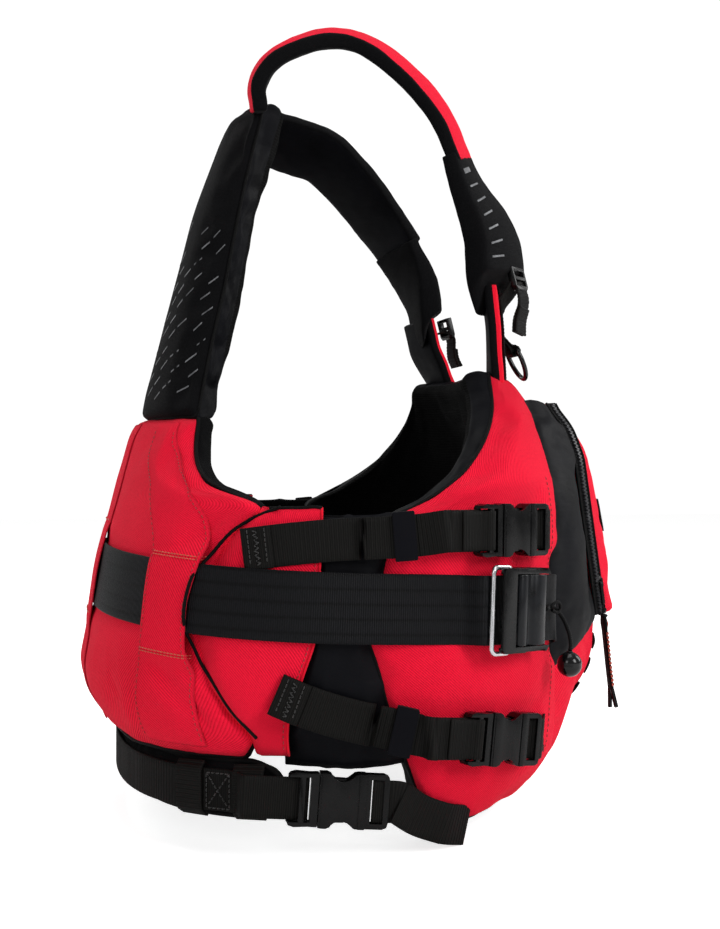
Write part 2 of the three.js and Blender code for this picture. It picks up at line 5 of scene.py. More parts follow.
import bpy
from mathutils import Matrix, Quaternion, Vector, noise
from mathutils.bvhtree import BVHTree


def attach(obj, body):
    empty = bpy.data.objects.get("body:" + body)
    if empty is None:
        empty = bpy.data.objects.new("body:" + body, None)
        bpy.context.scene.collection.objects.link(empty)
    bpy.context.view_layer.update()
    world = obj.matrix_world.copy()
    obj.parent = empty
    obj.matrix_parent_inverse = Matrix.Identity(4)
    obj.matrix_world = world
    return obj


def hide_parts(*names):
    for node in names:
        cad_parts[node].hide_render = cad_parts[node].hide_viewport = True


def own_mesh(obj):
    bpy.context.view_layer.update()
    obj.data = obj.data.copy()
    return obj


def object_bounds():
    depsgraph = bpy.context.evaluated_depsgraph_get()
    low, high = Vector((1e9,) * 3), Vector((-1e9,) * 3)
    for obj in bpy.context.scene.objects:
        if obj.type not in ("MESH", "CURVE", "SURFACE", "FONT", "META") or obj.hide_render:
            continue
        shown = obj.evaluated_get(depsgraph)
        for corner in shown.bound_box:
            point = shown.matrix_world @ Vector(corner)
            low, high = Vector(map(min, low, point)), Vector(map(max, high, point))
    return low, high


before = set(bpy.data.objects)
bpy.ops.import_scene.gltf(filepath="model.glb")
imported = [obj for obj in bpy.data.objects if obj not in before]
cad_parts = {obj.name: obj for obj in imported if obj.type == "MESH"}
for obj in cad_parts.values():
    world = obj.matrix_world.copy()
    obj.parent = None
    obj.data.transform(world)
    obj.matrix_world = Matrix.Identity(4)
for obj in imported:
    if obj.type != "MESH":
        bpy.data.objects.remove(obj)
CAD_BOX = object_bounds()
BODY = "jacket"
random.seed(7)

# ---- driving dimensions, in metres, as in part.mjs ----
SQUARENESS = 2.4
BACK_FOAM = 0.031
FRONT_FOAM = 0.036
SIDE_WEB = 0.030
HARNESS_WEB = 0.050
WEB = 0.0018
BELT_OFF = 0.0039
STRAP_OFF = 0.0042
SIDES = (("right", -1), ("left", 1))
UP = Vector((0, 0, 1))

# Horizontal sections of the jacket's outer face: height, half width, depth.
BACK = [
    (-0.548, 0.192, 0.178), (-0.505, 0.203, 0.198), (-0.465, 0.206, 0.190), (-0.415, 0.204, 0.183),
    (-0.350, 0.196, 0.165), (-0.320, 0.146, 0.157), (-0.283, 0.118, 0.147), (-0.200, 0.096, 0.124),
    (-0.125, 0.088, 0.105), (-0.046, 0.088, 0.076),
]
FRONT = [
    (-0.603, 0.178, 0.168), (-0.575, 0.190, 0.183), (-0.540, 0.198, 0.187), (-0.470, 0.206, 0.188),
    (-0.372, 0.203, 0.188), (-0.342, 0.190, 0.186), (-0.310, 0.172, 0.177), (-0.285, 0.158, 0.165),
    (-0.262, 0.148, 0.148),
]

# The pads' side edges: height, angle round the body in degrees, from 0 at the spine to 180 at the breastbone.
BACK_EDGE = [
    (-0.546, 64), (-0.531, 68), (-0.512, 63), (-0.490, 58), (-0.460, 53.5), (-0.435, 53), (-0.405, 57),
    (-0.386, 60), (-0.373, 65), (-0.366, 68), (-0.358, 58), (-0.350, 47), (-0.334, 43), (-0.318, 42),
    (-0.300, 42),
]
YOKE_EDGE = [(-0.299, 42), (-0.240, 42), (-0.200, 43), (-0.160, 43), (-0.125, 43), (-0.080, 40), (-0.047, 38)]
FRONT_EDGE = [
    (-0.602, 109), (-0.590, 103), (-0.575, 99), (-0.551, 96), (-0.505, 92), (-0.460, 89.5), (-0.411, 91.5),
    (-0.372, 93.5), (-0.362, 101), (-0.342, 111), (-0.310, 124), (-0.285, 134), (-0.264, 143),
]


# ---- the body's outer face ----
def lerp(a, b, share):
    return a + (b - a) * share


def steps_between(a, b, count):
    """count + 1 numbers from a to b."""
    return [lerp(a, b, k / count) for k in range(count + 1)]


def smooth(low, high, value):
    """0 below low and 1 above high, with a soft rise between them."""
    t = min(max((value - low) / (high - low), 0), 1)
    return t * t * (3 - 2 * t)


def read(table, key):
    """A table's values at a key, straight between its rows."""
    rows = sorted(table)
    key = min(max(key, rows[0][0]), rows[-1][0])
    for p, q in zip(rows, rows[1:]):
        if key <= q[0]:
            share = (key - p[0]) / (q[0] - p[0])
            return [lerp(a, b, share) for a, b in zip(p[1:], q[1:])]


def read_soft(table, key, reach=0.012):
    """The same, with the bends at the rows rounded off."""
    steps = [read(table, key + reach * k) for k in (-1, -0.5, 0, 0.5, 1)]
    return [sum(column) / 5 for column in zip(*steps)]


def on_body(degrees, z, off=0.0, side=-1, soft=False):
    """A point round the body at a height, so far outside its outer face."""
    table = BACK if degrees < 90 else FRONT
    a, b = (read_soft if soft else read)(table, z)
    turn = math.radians(degrees)
    x = abs(math.sin(turn)) ** (2 / SQUARENESS)
    y = math.copysign(abs(math.cos(turn)) ** (2 / SQUARENESS), math.cos(turn))
    lean = math.copysign(abs(y) ** (SQUARENESS - 1), y)
    slope = Vector((x ** (SQUARENESS - 1) / a, lean / b, 0)).normalized()
    return Vector((side * (a * x + off * slope.x), b * y + off * slope.y, z))


def out_of(degrees, z, side=-1):
    """The direction straight out of the body there."""
    return (on_body(degrees, z, 0.001, side) - on_body(degrees, z, 0, side)).normalized()


def place_of(point):
    """The angle round the body and the distance outside its face of a point."""
    table = BACK if point.y > 0 else FRONT
    a, b = read_soft(table, point.z)
    p = (abs(point.x) / a) ** (SQUARENESS / 2)
    q = (abs(point.y) / b) ** (SQUARENESS / 2)
    degrees = math.degrees(math.atan2(p, q))
    if point.y < 0:
        degrees = 180 - degrees
    side = -1 if point.x < 0 else 1
    face = on_body(degrees, point.z, 0, side, soft=True)
    out = on_body(degrees, point.z, 0.001, side, soft=True) - face
    return degrees, (point - face).dot(out.normalized())


def along_body(degrees, z, side):
    """The level direction forwards along the body there."""
    return (on_body(degrees + 1, z, 0, side) - on_body(degrees - 1, z, 0, side)).normalized()


def fitting(degrees, z, off, side, slope=0.0):
    """The frame of a buckle on the body: x forwards, z out, turned down towards the front by a slope."""
    forwards = along_body(degrees, z, side)
    out = Vector((0, 0, side)).cross(forwards).normalized()
    forwards.rotate(Matrix.Rotation(side * math.radians(slope), 3, out))
    return frame_at(on_body(degrees, z, off, side), forwards, out)


def frame_at(point, forwards, out):
    """The frame at a point whose x is forwards and whose z is out."""
    matrix = Matrix((forwards, out.cross(forwards), out)).transposed().to_4x4()
    matrix.translation = point
    return matrix


# ---- lines ----
def resample(points, count):
    """count + 1 points evenly along a smooth line through the points."""
    dense = []
    ends = [points[0] * 2 - points[1]] + list(points) + [points[-1] * 2 - points[-2]]
    for p, a, b, q in zip(ends, ends[1:], ends[2:], ends[3:]):
        tp, tb, tq = [max((v - w).length, 1e-6) ** 0.5 for v, w in ((a, p), (b, a), (q, b))]
        m1 = (b - a) + tb * ((a - p) / tp - (b - p) / (tp + tb))
        m2 = (b - a) + tb * ((q - b) / tq - (q - a) / (tb + tq))
        for k in range(16):
            t = k / 16
            h = (2 * t**3 - 3 * t**2 + 1, t**3 - 2 * t**2 + t, 3 * t**2 - 2 * t**3, t**3 - t**2)
            dense.append(h[0] * a + h[1] * m1 + h[2] * b + h[3] * m2)
    dense.append(points[-1].copy())
    lengths = [0.0]
    for a, b in zip(dense, dense[1:]):
        lengths.append(lengths[-1] + (b - a).length)
    out, i = [], 0
    for k in range(count + 1):
        goal = lengths[-1] * k / count
        while i < len(dense) - 2 and lengths[i + 1] < goal:
            i += 1
        share = (goal - lengths[i]) / max(lengths[i + 1] - lengths[i], 1e-9)
        out.append(dense[i].lerp(dense[i + 1], min(share, 1)))
    return out


# ---- meshes ----
def add_object(name, data):
    """Puts a mesh, camera or light in the scene."""
    obj = bpy.data.objects.new(name, data)
    bpy.context.scene.collection.objects.link(obj)
    return obj


def new_object(name, points, faces, materials, face_materials=None, uvs=None):
    """A smooth mesh, with its materials and its cloth's places in metres."""
    mesh = bpy.data.meshes.new(name)
    mesh.from_pydata([tuple(p) for p in points], [], faces)
    for material in materials:
        mesh.materials.append(material)
    if face_materials:
        mesh.polygons.foreach_set("material_index", face_materials)
    if uvs:
        layer = mesh.uv_layers.new(name="metres")
        for loop in mesh.loops:
            layer.data[loop.index].uv = uvs[loop.vertex_index]
    mesh.polygons.foreach_set("use_smooth", [True] * len(mesh.polygons))
    mesh.update()
    return add_object(name, mesh)


def keep(obj, nodes=(), body=BODY):
    """Puts a finished piece on its body and hides the CAD parts that it stands for."""
    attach(obj, body)
    if nodes:
        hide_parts(*nodes)
    return obj


def border(rows, columns):
    """The places (row, column) round the edge of a grid."""
    loop = [(0, j) for j in range(columns)] + [(i, columns) for i in range(rows)]
    return loop + [(rows, j) for j in range(columns, 0, -1)] + [(i, 0) for i in range(rows, 0, -1)]


def face_outwards(obj, points, faces):
    """Turns a closed mesh's faces outwards, by the sign of its volume."""
    if sum(points[f[0]].dot(points[f[1]].cross(points[f[2]])) for f in faces) < 0:
        obj.data.flip_normals()
    return obj


def shell(place, rows, columns):
    """A pad's outer and inner grids, from place(up, across, inside): up and across go from 0 to 1."""
    return [
        [[place(i / rows, j / columns, inside) for j in range(columns + 1)] for i in range(rows + 1)]
        for inside in (False, True)]


def gathered(items):
    """The points and faces of several pieces together."""
    points, faces = [], []
    for item_points, item_faces in items:
        base = len(points)
        points += item_points
        faces += [tuple(v + base for v in f) for f in item_faces]
    return points, faces


def pad(name, outer, inner, materials, wall_rows=3, bulge=0.002):
    """A gusseted pad: an outer face, an inner face and a wall of its own cloth round the edge."""
    rows, columns = len(outer) - 1, len(outer[0]) - 1
    points = [p for row in outer for p in row] + [p for row in inner for p in row]
    half = (rows + 1) * (columns + 1)
    at = lambda i, j: i * (columns + 1) + j
    faces, kinds = [], []
    for i in range(rows):
        for j in range(columns):
            quad = (at(i, j), at(i, j + 1), at(i + 1, j + 1), at(i + 1, j))
            faces += [quad, tuple(half + v for v in reversed(quad))]
            kinds += [0, 2]
    loop = [at(i, j) for i, j in border(rows, columns)]
    rings = [loop]
    middle = sum((points[v] for v in loop), Vector()) / len(loop)
    for k in range(1, wall_rows):
        share = k / wall_rows
        ring = []
        for v in loop:
            point = points[v].lerp(points[half + v], share)
            away = (point - middle).normalized()
            ring.append(len(points))
            points.append(point + away * bulge * math.sin(math.pi * share))
        rings.append(ring)
    rings.append([half + v for v in loop])
    for upper, lower in zip(rings, rings[1:]):
        for k in range(len(loop)):
            n = (k + 1) % len(loop)
            faces.append((upper[n], upper[k], lower[k], lower[n]))
            kinds.append(1)
    uvs = [(0.0, 0.0)] * len(points)
    across = spans([outer[rows // 2][j] for j in range(columns + 1)])
    along = spans([outer[i][columns // 2] for i in range(rows + 1)])
    for i in range(rows + 1):
        for j in range(columns + 1):
            uvs[at(i, j)] = uvs[half + at(i, j)] = (across[j], along[i])
    for k, ring in enumerate(rings[1:-1], 1):
        for n, v in enumerate(ring):
            u, w = uvs[loop[n]]
            uvs[v] = (u + 0.01 * k, w + 0.01 * k)
    obj = face_outwards(new_object(name, points, faces, materials, kinds, uvs), points, faces)
    pins = obj.vertex_groups.new(name="pins")
    pins.add(loop + rings[-1], 1.0, "REPLACE")
    return obj


def spans(line):
    """How far along a line each of its points is."""
    total = [0.0]
    for a, b in zip(line, line[1:]):
        total.append(total[-1] + (b - a).length)
    return total


def ribbon(name, stations, width, thickness, material, step=0.004, cuts=4, edge=0.0004, rib=0.0, pitch=0.003):
    """Webbing through stations of (point, direction across): a flat band with rounded edges."""
    points = [Vector(p) for p, _ in stations]
    count = max(4, int(sum((b - a).length for a, b in zip(points, points[1:])) / step))
    line = resample(points, count)
    sides = resample([Vector(p) + Vector(a).normalized() * 0.02 for p, a in stations], count)
    sides = [s - p for s, p in zip(sides, line)]
    return band(name, line, sides, width, thickness, material, cuts, edge, rib, pitch)


def webbing(
        name, stations, nodes=(), width=SIDE_WEB, thickness=WEB, step=0.0008, cuts=8, rib=0.0004,
        pitch=0.0031):
    """Black ribbed webbing on the jacket."""
    web = ribbon(name, stations, width, thickness, RIBBED, step, cuts, rib=rib, pitch=pitch)
    return keep(web, nodes)


def band(name, line, sides, width, thickness, material, cuts=4, edge=0.0004, rib=0.0, pitch=0.003):
    """A flat band along a line, with ribs across it so far apart."""
    profile = [(w * (width - 2 * edge), thickness / 2) for w in steps_between(-0.5, 0.5, cuts)]
    profile += [(width / 2, thickness / 2 - edge), (width / 2, edge - thickness / 2)]
    profile += [(w * (width - 2 * edge), -thickness / 2) for w in steps_between(0.5, -0.5, cuts)]
    profile += [(-width / 2, edge - thickness / 2), (-width / 2, thickness / 2 - edge)]
    points, uvs = [], []
    lengths = spans(line)
    for k, centre in enumerate(line):
        along = (line[min(k + 1, len(line) - 1)] - line[max(k - 1, 0)]).normalized()
        across = (sides[k] - along * sides[k].dot(along)).normalized()
        out = along.cross(across)
        ridge = 1 + rib / thickness * (2 * abs(math.sin(math.pi * lengths[k] / pitch)) - 1)
        for w, lift in profile:
            points.append(centre + across * w + out * lift * ridge)
            uvs.append((w + (0.2 if lift < 0 else 0), lengths[k]))
    n = len(profile)
    faces = []
    for k in range(len(line) - 1):
        for j in range(n):
            a, b = k * n + j, k * n + (j + 1) % n
            faces.append((a, b, b + n, a + n))
    faces += [tuple(reversed(range(n))), tuple(range(len(points) - n, len(points)))]
    return face_outwards(new_object(name, points, faces, [material], None, uvs), points, faces)


def tube(name, points, radius, material, sides=8, closed=False):
    """A round cord or piping along points."""
    line = [Vector(p) for p in points]
    count = len(line)
    rings, uvs = [], []
    normal = None
    lengths = spans(line)
    for k, centre in enumerate(line):
        ahead = line[(k + 1) % count] if closed else line[min(k + 1, count - 1)]
        behind = line[k - 1] if closed or k else line[0]
        along = (ahead - behind).normalized()
        if normal is None:
            normal = along.orthogonal().normalized()
        normal = (normal - along * normal.dot(along)).normalized()
        side = along.cross(normal)
        for j in range(sides):
            turn = 2 * math.pi * j / sides
            rings.append(centre + (normal * math.cos(turn) + side * math.sin(turn)) * radius)
            uvs.append((radius * turn, lengths[k]))
    faces = []
    for k in range(count if closed else count - 1):
        for j in range(sides):
            a, b = k * sides + j, k * sides + (j + 1) % sides
            c, d = ((k + 1) % count) * sides + (j + 1) % sides, ((k + 1) % count) * sides + j
            faces.append((a, b, c, d))
    if not closed:
        faces += [tuple(reversed(range(sides))), tuple(range((count - 1) * sides, count * sides))]
    return new_object(name, rings, faces, [material], None, uvs)


def merge(name, objects):
    """One object out of several."""
    bpy.ops.object.select_all(action="DESELECT")
    for obj in objects:
        obj.select_set(True)
    bpy.context.view_layer.objects.active = objects[0]
    bpy.ops.object.join()
    objects[0].name = name
    return objects[0]


def stitches(name, lines, material, length=0.0032, gap=0.0012, radius=0.00042):
    """Thread lying along lines of (point, outward direction): one short bead for each stitch."""
    points, faces = [], []
    for line in lines:
        places = [p for p, _ in line]
        lengths = spans(places)
        start, i = 0.0, 0
        while start + length < lengths[-1]:
            ends = []
            for goal in (start, start + length / 2, start + length):
                while i < len(places) - 2 and lengths[i + 1] < goal:
                    i += 1
                share = (goal - lengths[i]) / max(lengths[i + 1] - lengths[i], 1e-9)
                ends.append(places[i].lerp(places[i + 1], min(share, 1)))
            out = line[i][1].normalized()
            along = (ends[2] - ends[0]).normalized()
            side = along.cross(out) * radius
            base = len(points)
            lift = out * radius
            points += [ends[0] - lift, ends[2] - lift]
            for share, size in ((0.2, 0.8), (0.8, 0.8)):
                middle = ends[0].lerp(ends[2], share) + lift * 0.6
                points += [middle + way * size for way in (side, lift, -side, -lift)]
            a, b = base + 2, base + 6
            for j in range(4):
                n = (j + 1) % 4
                faces += [(a + j, a + n, b + n, b + j), (base, a + n, a + j), (base + 1, b + j, b + n)]
            start += length + gap
    return new_object(name, points, faces, [material])


# ---- cloth ----
CLOTHS = []
CLOTH_FRAMES = 18
CLOTH_GROWTH = 0.02


def puff(obj, pressure, cap):
    """Marks a pad whose cloth is a little larger than its foam, held along its seams."""
    CLOTHS.append((obj, pressure, cap))
    return obj


def run_cloths():
    """Lets the cloths find their rest together, and keeps each point within its pad's cap."""
    rest = {}
    for obj, pressure, _ in CLOTHS:
        rest[obj.name] = [v.co.copy() for v in obj.data.vertices]
        cloth = obj.modifiers.new("cloth", "CLOTH")
        settings = cloth.settings
        settings.quality = 5
        settings.mass = 0.2
        settings.tension_stiffness = settings.compression_stiffness = 18
        settings.shear_stiffness = 6
        settings.bending_stiffness = 0.35
        settings.use_pressure = True
        settings.uniform_pressure_force = pressure
        settings.vertex_group_mass = "pins"
        settings.pin_stiffness = 1
        settings.shrink_min = -CLOTH_GROWTH
        settings.effector_weights.gravity = 0
        cloth.collision_settings.use_collision = False
        cloth.point_cache.frame_end = CLOTH_FRAMES
    for step in range(1, CLOTH_FRAMES + 1):
        bpy.context.scene.frame_set(step)
    graph = bpy.context.evaluated_depsgraph_get()
    for obj, _, cap in CLOTHS:
        moved = obj.evaluated_get(graph).data
        places = [v.co.copy() for v in moved.vertices]
        obj.modifiers.clear()
        for vertex, was, now in zip(obj.data.vertices, rest[obj.name], places):
            step = now - was
            if step.length > cap:
                step *= cap / step.length
            vertex.co = was + step
    bpy.context.scene.frame_set(1)


# Where straps press the pads in: sides, first and last angle, height at each, half width, and the room above
# the face.
PRESSES = []
# Beside a strap the cloth rises so far over so much height.
CLOTH_RISE = 0.004
RISE_OVER = 0.012


def press(obj):
    """Keeps a pad's outer face under the straps that lie on it, with the cloth rising beside them."""
    for vertex in obj.data.vertices:
        degrees, off = place_of(vertex.co)
        if off < -0.012:
            continue
        side = -1 if vertex.co.x < 0 else 1
        for sides, first, last, z0, z1, half, room in PRESSES:
            if side not in sides or not first - 3 < degrees < last + 3:
                continue
            middle = lerp(z0, z1, min(max((degrees - first) / (last - first), 0), 1))
            beyond = max(abs(vertex.co.z - middle) - half, 0)
            allowed = room + CLOTH_RISE * (beyond / RISE_OVER) ** 1.5
            if beyond < 0.03 and off > allowed:
                vertex.co -= out_of(degrees, vertex.co.z, side) * (off - allowed)
                off = allowed


def finish_soft(obj):
    """Rounds a soft piece with one subdivision."""
    modifier = obj.modifiers.new("smooth", "SUBSURF")
    modifier.levels = modifier.render_levels = 1
    return obj


# ---- camera ----
CAMERA_PLACE = (-1.1249, 0.206, -0.336)
CAMERA_AIM = (0.9781, -0.2079, 0)
CAMERA_LENS = 51.8


def add_camera():
    """The picture's view: level, from the wearer's right and a little behind."""
    data = bpy.data.cameras.new("camera")
    data.lens = CAMERA_LENS
    camera = add_object("camera", data)
    camera.location = CAMERA_PLACE
    camera.rotation_euler = Vector(CAMERA_AIM).to_track_quat("-Z", "Y").to_euler()
    bpy.context.scene.camera = camera


add_camera()


# ---- materials ----
def node(tree, kind, inputs=None, **settings):
    """A new node, with sockets joined to its inputs and constants set on them."""
    made = tree.nodes.new(kind)
    for key, value in settings.items():
        setattr(made, key, value)
    for key, value in (inputs or {}).items():
        if isinstance(value, bpy.types.NodeSocket):
            tree.links.new(value, made.inputs[key])
        else:
            made.inputs[key].default_value = value
    return made


def surface(name, **sockets):
    """A new material, with constants set on its shader's own sockets."""
    material = bpy.data.materials.new(name)
    material.use_nodes = True
    shader = material.node_tree.nodes["Principled BSDF"]
    for key, value in sockets.items():
        shader.inputs[key.replace("_", " ")].default_value = value
    return material, material.node_tree, shader


def math_node(tree, operation, *values):
    return node(tree, "ShaderNodeMath", dict(enumerate(values)), operation=operation).outputs[0]


def on_object(tree):
    """Where a point is on the object, in metres."""
    return node(tree, "ShaderNodeTexCoord").outputs["Object"]


def flecks(tree, place, scale, detail):
    """Noise from 0 to 1."""
    inputs = {"Vector": place, "Scale": scale, "Detail": detail}
    return node(tree, "ShaderNodeTexNoise", inputs).outputs["Fac"]


def dress(tree, shader, colour, gloss, height, depth, strength):
    """Gives a shader its colour, roughness and relief."""
    bump = node(tree, "ShaderNodeBump", {"Height": height, "Distance": depth, "Strength": strength})
    tree.links.new(colour, shader.inputs["Base Color"])
    tree.links.new(gloss, shader.inputs["Roughness"])
    tree.links.new(bump.outputs[0], shader.inputs["Normal"])


def ramp(tree, factor, dark, light, low=0.3, high=0.7):
    """A colour between a dark and a light one."""
    made = node(tree, "ShaderNodeValToRGB", {"Fac": factor})
    first, last = made.color_ramp.elements
    first.position, last.position = low, high
    first.color, last.color = (*dark, 1), (*light, 1)
    return made.outputs["Color"]


def cloth_places(tree):
    """Where a point is on its cloth, in metres along the two threads."""
    at = node(tree, "ShaderNodeUVMap", uv_map="metres").outputs[0]
    parts = node(tree, "ShaderNodeSeparateXYZ", {0: at})
    return at, parts.outputs[0], parts.outputs[1]


def waves(tree, along, pitch):
    """Ridges across a direction, from 0 to 1."""
    turn = math_node(tree, "MULTIPLY", along, 2 * math.pi / pitch)
    return math_node(tree, "MULTIPLY_ADD", math_node(tree, "SINE", turn), 0.5, 0.5)


def cloth_material(name, dark, light, pitch, twill=0.0, relief=0.00022, roughness=0.85, sheen=0.2):
    """Woven cloth: two sets of threads, painted shade in their valleys, faded a little in patches, dulled and
    glossy threads.
    """
    material, tree, shader = surface(
        name, Roughness=roughness, Sheen_Weight=sheen, Sheen_Roughness=0.5, Specular_IOR_Level=0.06)
    at, u, v = cloth_places(tree)
    slant = math_node(tree, "MULTIPLY_ADD", u, twill, v)
    threads = math_node(tree, "MULTIPLY", waves(tree, u, pitch), waves(tree, slant, pitch))
    if twill:
        wale = math_node(tree, "MULTIPLY", waves(tree, slant, pitch * 2), 0.75)
        threads = math_node(tree, "MULTIPLY_ADD", threads, 0.25, wale)
    fleck = flecks(tree, at, 0.55 / pitch, 2.0)
    patch = flecks(tree, on_object(tree), 9.0, 4.0)
    height = math_node(tree, "MULTIPLY_ADD", fleck, 0.5, threads)
    # painted shade: the colour is darker where the weave's relief is low, in its valleys, on top of random
    # faded patches
    shade = math_node(tree, "MULTIPLY_ADD", patch, 0.48, math_node(tree, "MULTIPLY", height, 0.75))
    gloss = math_node(tree, "MULTIPLY_ADD", fleck, -0.25, roughness + 0.12)
    dress(tree, shader, ramp(tree, shade, dark, light, 0.2, 0.94), gloss, height, relief, 0.8)
    return material


def webbing_material(name, dark, light, pitch, roughness=0.6, lines=0.0):
    """Webbing: ribs across it, a heavier line along it at every so many metres, and painted shade in the
    grooves.
    """
    material, tree, shader = surface(name, Roughness=roughness, Sheen_Roughness=0.4, Specular_IOR_Level=0.10)
    at, u, v = cloth_places(tree)
    height = math_node(tree, "MULTIPLY_ADD", waves(tree, u, pitch * 0.45), 0.35, waves(tree, v, pitch))
    if lines:
        line = math_node(tree, "POWER", waves(tree, u, lines), 8.0)
        height = math_node(tree, "MULTIPLY_ADD", line, -0.8, height)
    fleck = flecks(tree, at, 0.8 / pitch, 3.0)
    # painted shade: the colour is darker where the relief is low, between the ribs and in the lines, with
    # random flecks on top
    shade = math_node(tree, "MULTIPLY_ADD", fleck, 0.6, math_node(tree, "MULTIPLY", height, 0.45))
    gloss = math_node(tree, "MULTIPLY_ADD", fleck, 0.3, roughness - 0.15)
    dress(tree, shader, ramp(tree, shade, dark, light, 0.25, 0.95), gloss, height, 0.00025, 0.7)
    return material


def satin_material(name, dark, light, roughness):
    """Thin tight cloth, nearly smooth, with fine slack wrinkles."""
    material, tree, shader = surface(name, Roughness=roughness, Sheen_Roughness=0.35, Specular_IOR_Level=0.07)
    place = on_object(tree)
    patch = flecks(tree, place, 22.0, 5.0)
    stretched = node(
        tree, "ShaderNodeMapping", {"Vector": place, "Scale": (26, 26, 90), "Rotation": (0.5, 0.7, 0)})
    crease = flecks(tree, stretched.outputs[0], 1.0, 3.0)
    height = math_node(tree, "MULTIPLY_ADD", flecks(tree, place, 900.0, 1.0), 0.06, crease)
    gloss = math_node(tree, "MULTIPLY_ADD", patch, 0.35, roughness - 0.15)
    dress(tree, shader, ramp(tree, patch, dark, light), gloss, height, 0.0016, 0.55)
    return material


def plastic_material(name, dark, light, roughness, grain=0.00006, coat=0.0):
    """Moulded plastic: fine spark-eroded grain, handled patches a little glossier."""
    material, tree, shader = surface(name, Roughness=roughness, Specular_IOR_Level=0.2, Coat_Weight=coat)
    patch = flecks(tree, on_object(tree), 120.0, 4.0)
    gloss = math_node(tree, "MULTIPLY_ADD", patch, 0.24, roughness - 0.12)
    fine = flecks(tree, on_object(tree), 2600.0, 2.0)
    dress(tree, shader, ramp(tree, patch, dark, light), gloss, fine, grain, 0.5)
    return material


def steel_material(name):
    """Drawn wire with fine scratches along it."""
    material, tree, shader = surface(name, Metallic=1.0, Roughness=0.25)
    drawn = node(tree, "ShaderNodeMapping", {"Vector": on_object(tree), "Scale": (900, 900, 60)})
    scratch = flecks(tree, drawn.outputs[0], 1.0, 3.0)
    colour = ramp(tree, scratch, (0.5, 0.5, 0.52), (0.82, 0.82, 0.84))
    dress(tree, shader, colour, math_node(tree, "MULTIPLY_ADD", scratch, 0.2, 0.14), scratch, 0.00004, 0.4)
    return material


def thread_material(name, colour):
    """Sewing thread, with painted shade darker between its plies."""
    material, tree, shader = surface(name, Roughness=0.55, Sheen_Weight=0.2)
    ply = flecks(tree, on_object(tree), 2200.0, 1.0)
    # painted shade: the thread's colour is darker where its ply relief is low, in the grooves between the
    # plies
    shade = ramp(tree, ply, tuple(0.55 * c for c in colour), colour)
    dress(tree, shader, shade, math_node(tree, "MULTIPLY_ADD", ply, 0.3, 0.4), ply, 0.0002, 0.6)
    return material


RED = cloth_material(
    "red_cloth", (0.50, 0.003, 0.014), (0.93, 0.0095, 0.042), 0.0012, twill=1.0, relief=0.0006, sheen=0.03)
RED_EDGE = cloth_material(
    "red_binding", (0.6, 0.005, 0.016), (0.90, 0.010, 0.036), 0.0009, relief=0.00015, sheen=0.03)
BLACK = cloth_material(
    "black_cloth", (0.001, 0.001, 0.0012), (0.0042, 0.0042, 0.005), 0.0011, roughness=0.82, sheen=0.015)
LINER = cloth_material(
    "black_liner", (0.001, 0.001, 0.001), (0.005, 0.005, 0.005), 0.0024, relief=0.0005, roughness=0.9,
    sheen=0.015)
SATIN = satin_material("black_satin", (0.0012, 0.0012, 0.0018), (0.0040, 0.0042, 0.0060), 0.5)
RIBBED = webbing_material("ribbed_webbing", (0.0006, 0.0006, 0.0006), (0.0085, 0.0080, 0.0070), 0.0016)
BELT = webbing_material(
    "belt_webbing", (0.0012, 0.0012, 0.0015), (0.0075, 0.0078, 0.0095), 0.0016, roughness=0.42, lines=0.0105)
BINDING = webbing_material(
    "black_binding", (0.001, 0.001, 0.001), (0.004, 0.004, 0.0042), 0.0011, roughness=0.65)
ELASTIC = cloth_material(
    "elastic", (0.0012, 0.0012, 0.002), (0.0045, 0.0045, 0.007), 0.0009, relief=0.00012, roughness=0.7,
    sheen=0.03)
PLASTIC = plastic_material("black_plastic", (0.001, 0.001, 0.0012), (0.0035, 0.0034, 0.0036), 0.26)
LEVER = plastic_material("lever_plastic", (0.002, 0.0023, 0.003), (0.006, 0.0068, 0.009), 0.3, coat=0.12)
GLOSS = plastic_material(
    "ball_plastic", (0.001, 0.001, 0.0012), (0.004, 0.004, 0.0045), 0.2, 0.00002, coat=0.3)
TEETH = plastic_material("zip_plastic", (0.016, 0.016, 0.018), (0.05, 0.05, 0.054), 0.3)
CORD = webbing_material("cord_braid", (0.001, 0.001, 0.001), (0.007, 0.007, 0.0075), 0.0016, roughness=0.55)
STEEL = steel_material("steel")
THREAD = thread_material("black_thread", (0.012, 0.0115, 0.011))
RED_THREAD = thread_material("red_thread", (0.42, 0.012, 0.012))
BRIGHT_THREAD = thread_material("bright_red_thread", (0.78, 0.10, 0.04))
REFLECTIVE = plastic_material("reflective_print", (0.05, 0.052, 0.056), (0.20, 0.205, 0.215), 0.4, 0.00008)


# ---- the cord from the cam's lever to its ball ----
def local(group, x, y=0.0, z=0.0):
    """A point of a fitting, given in its own millimetres."""
    return group @ Vector((x / 1000, y / 1000, z / 1000))


def up_of(group, side):
    """The upward direction along a fitting's y axis."""
    return local(group, 0, -side * 1000) - local(group, 0)


CAM = fitting(124, -0.443, 0.008, -1, 3)
CORD_POINTS = [
    (17.6, 0, 5.6), (20.5, 0.3, 4.6), (23.5, 0.6, 2.6), (26.5, 0.9, 0.6), (30, 1.1, -0.8), (33.5, 0.8, -1.4),
    (37, -0.2, -1.4), (40, -2, -0.8), (42.4, -4.6, 0.4), (44, -8, 2.2), (44.8, -12, 4.4), (45, -16, 6.4),
    (44.8, -20, 8.2), (44.3, -24, 9.6), (43.5, -28, 10.6), (42.4, -32, 11),
]
BALL = (42, -42, 11)


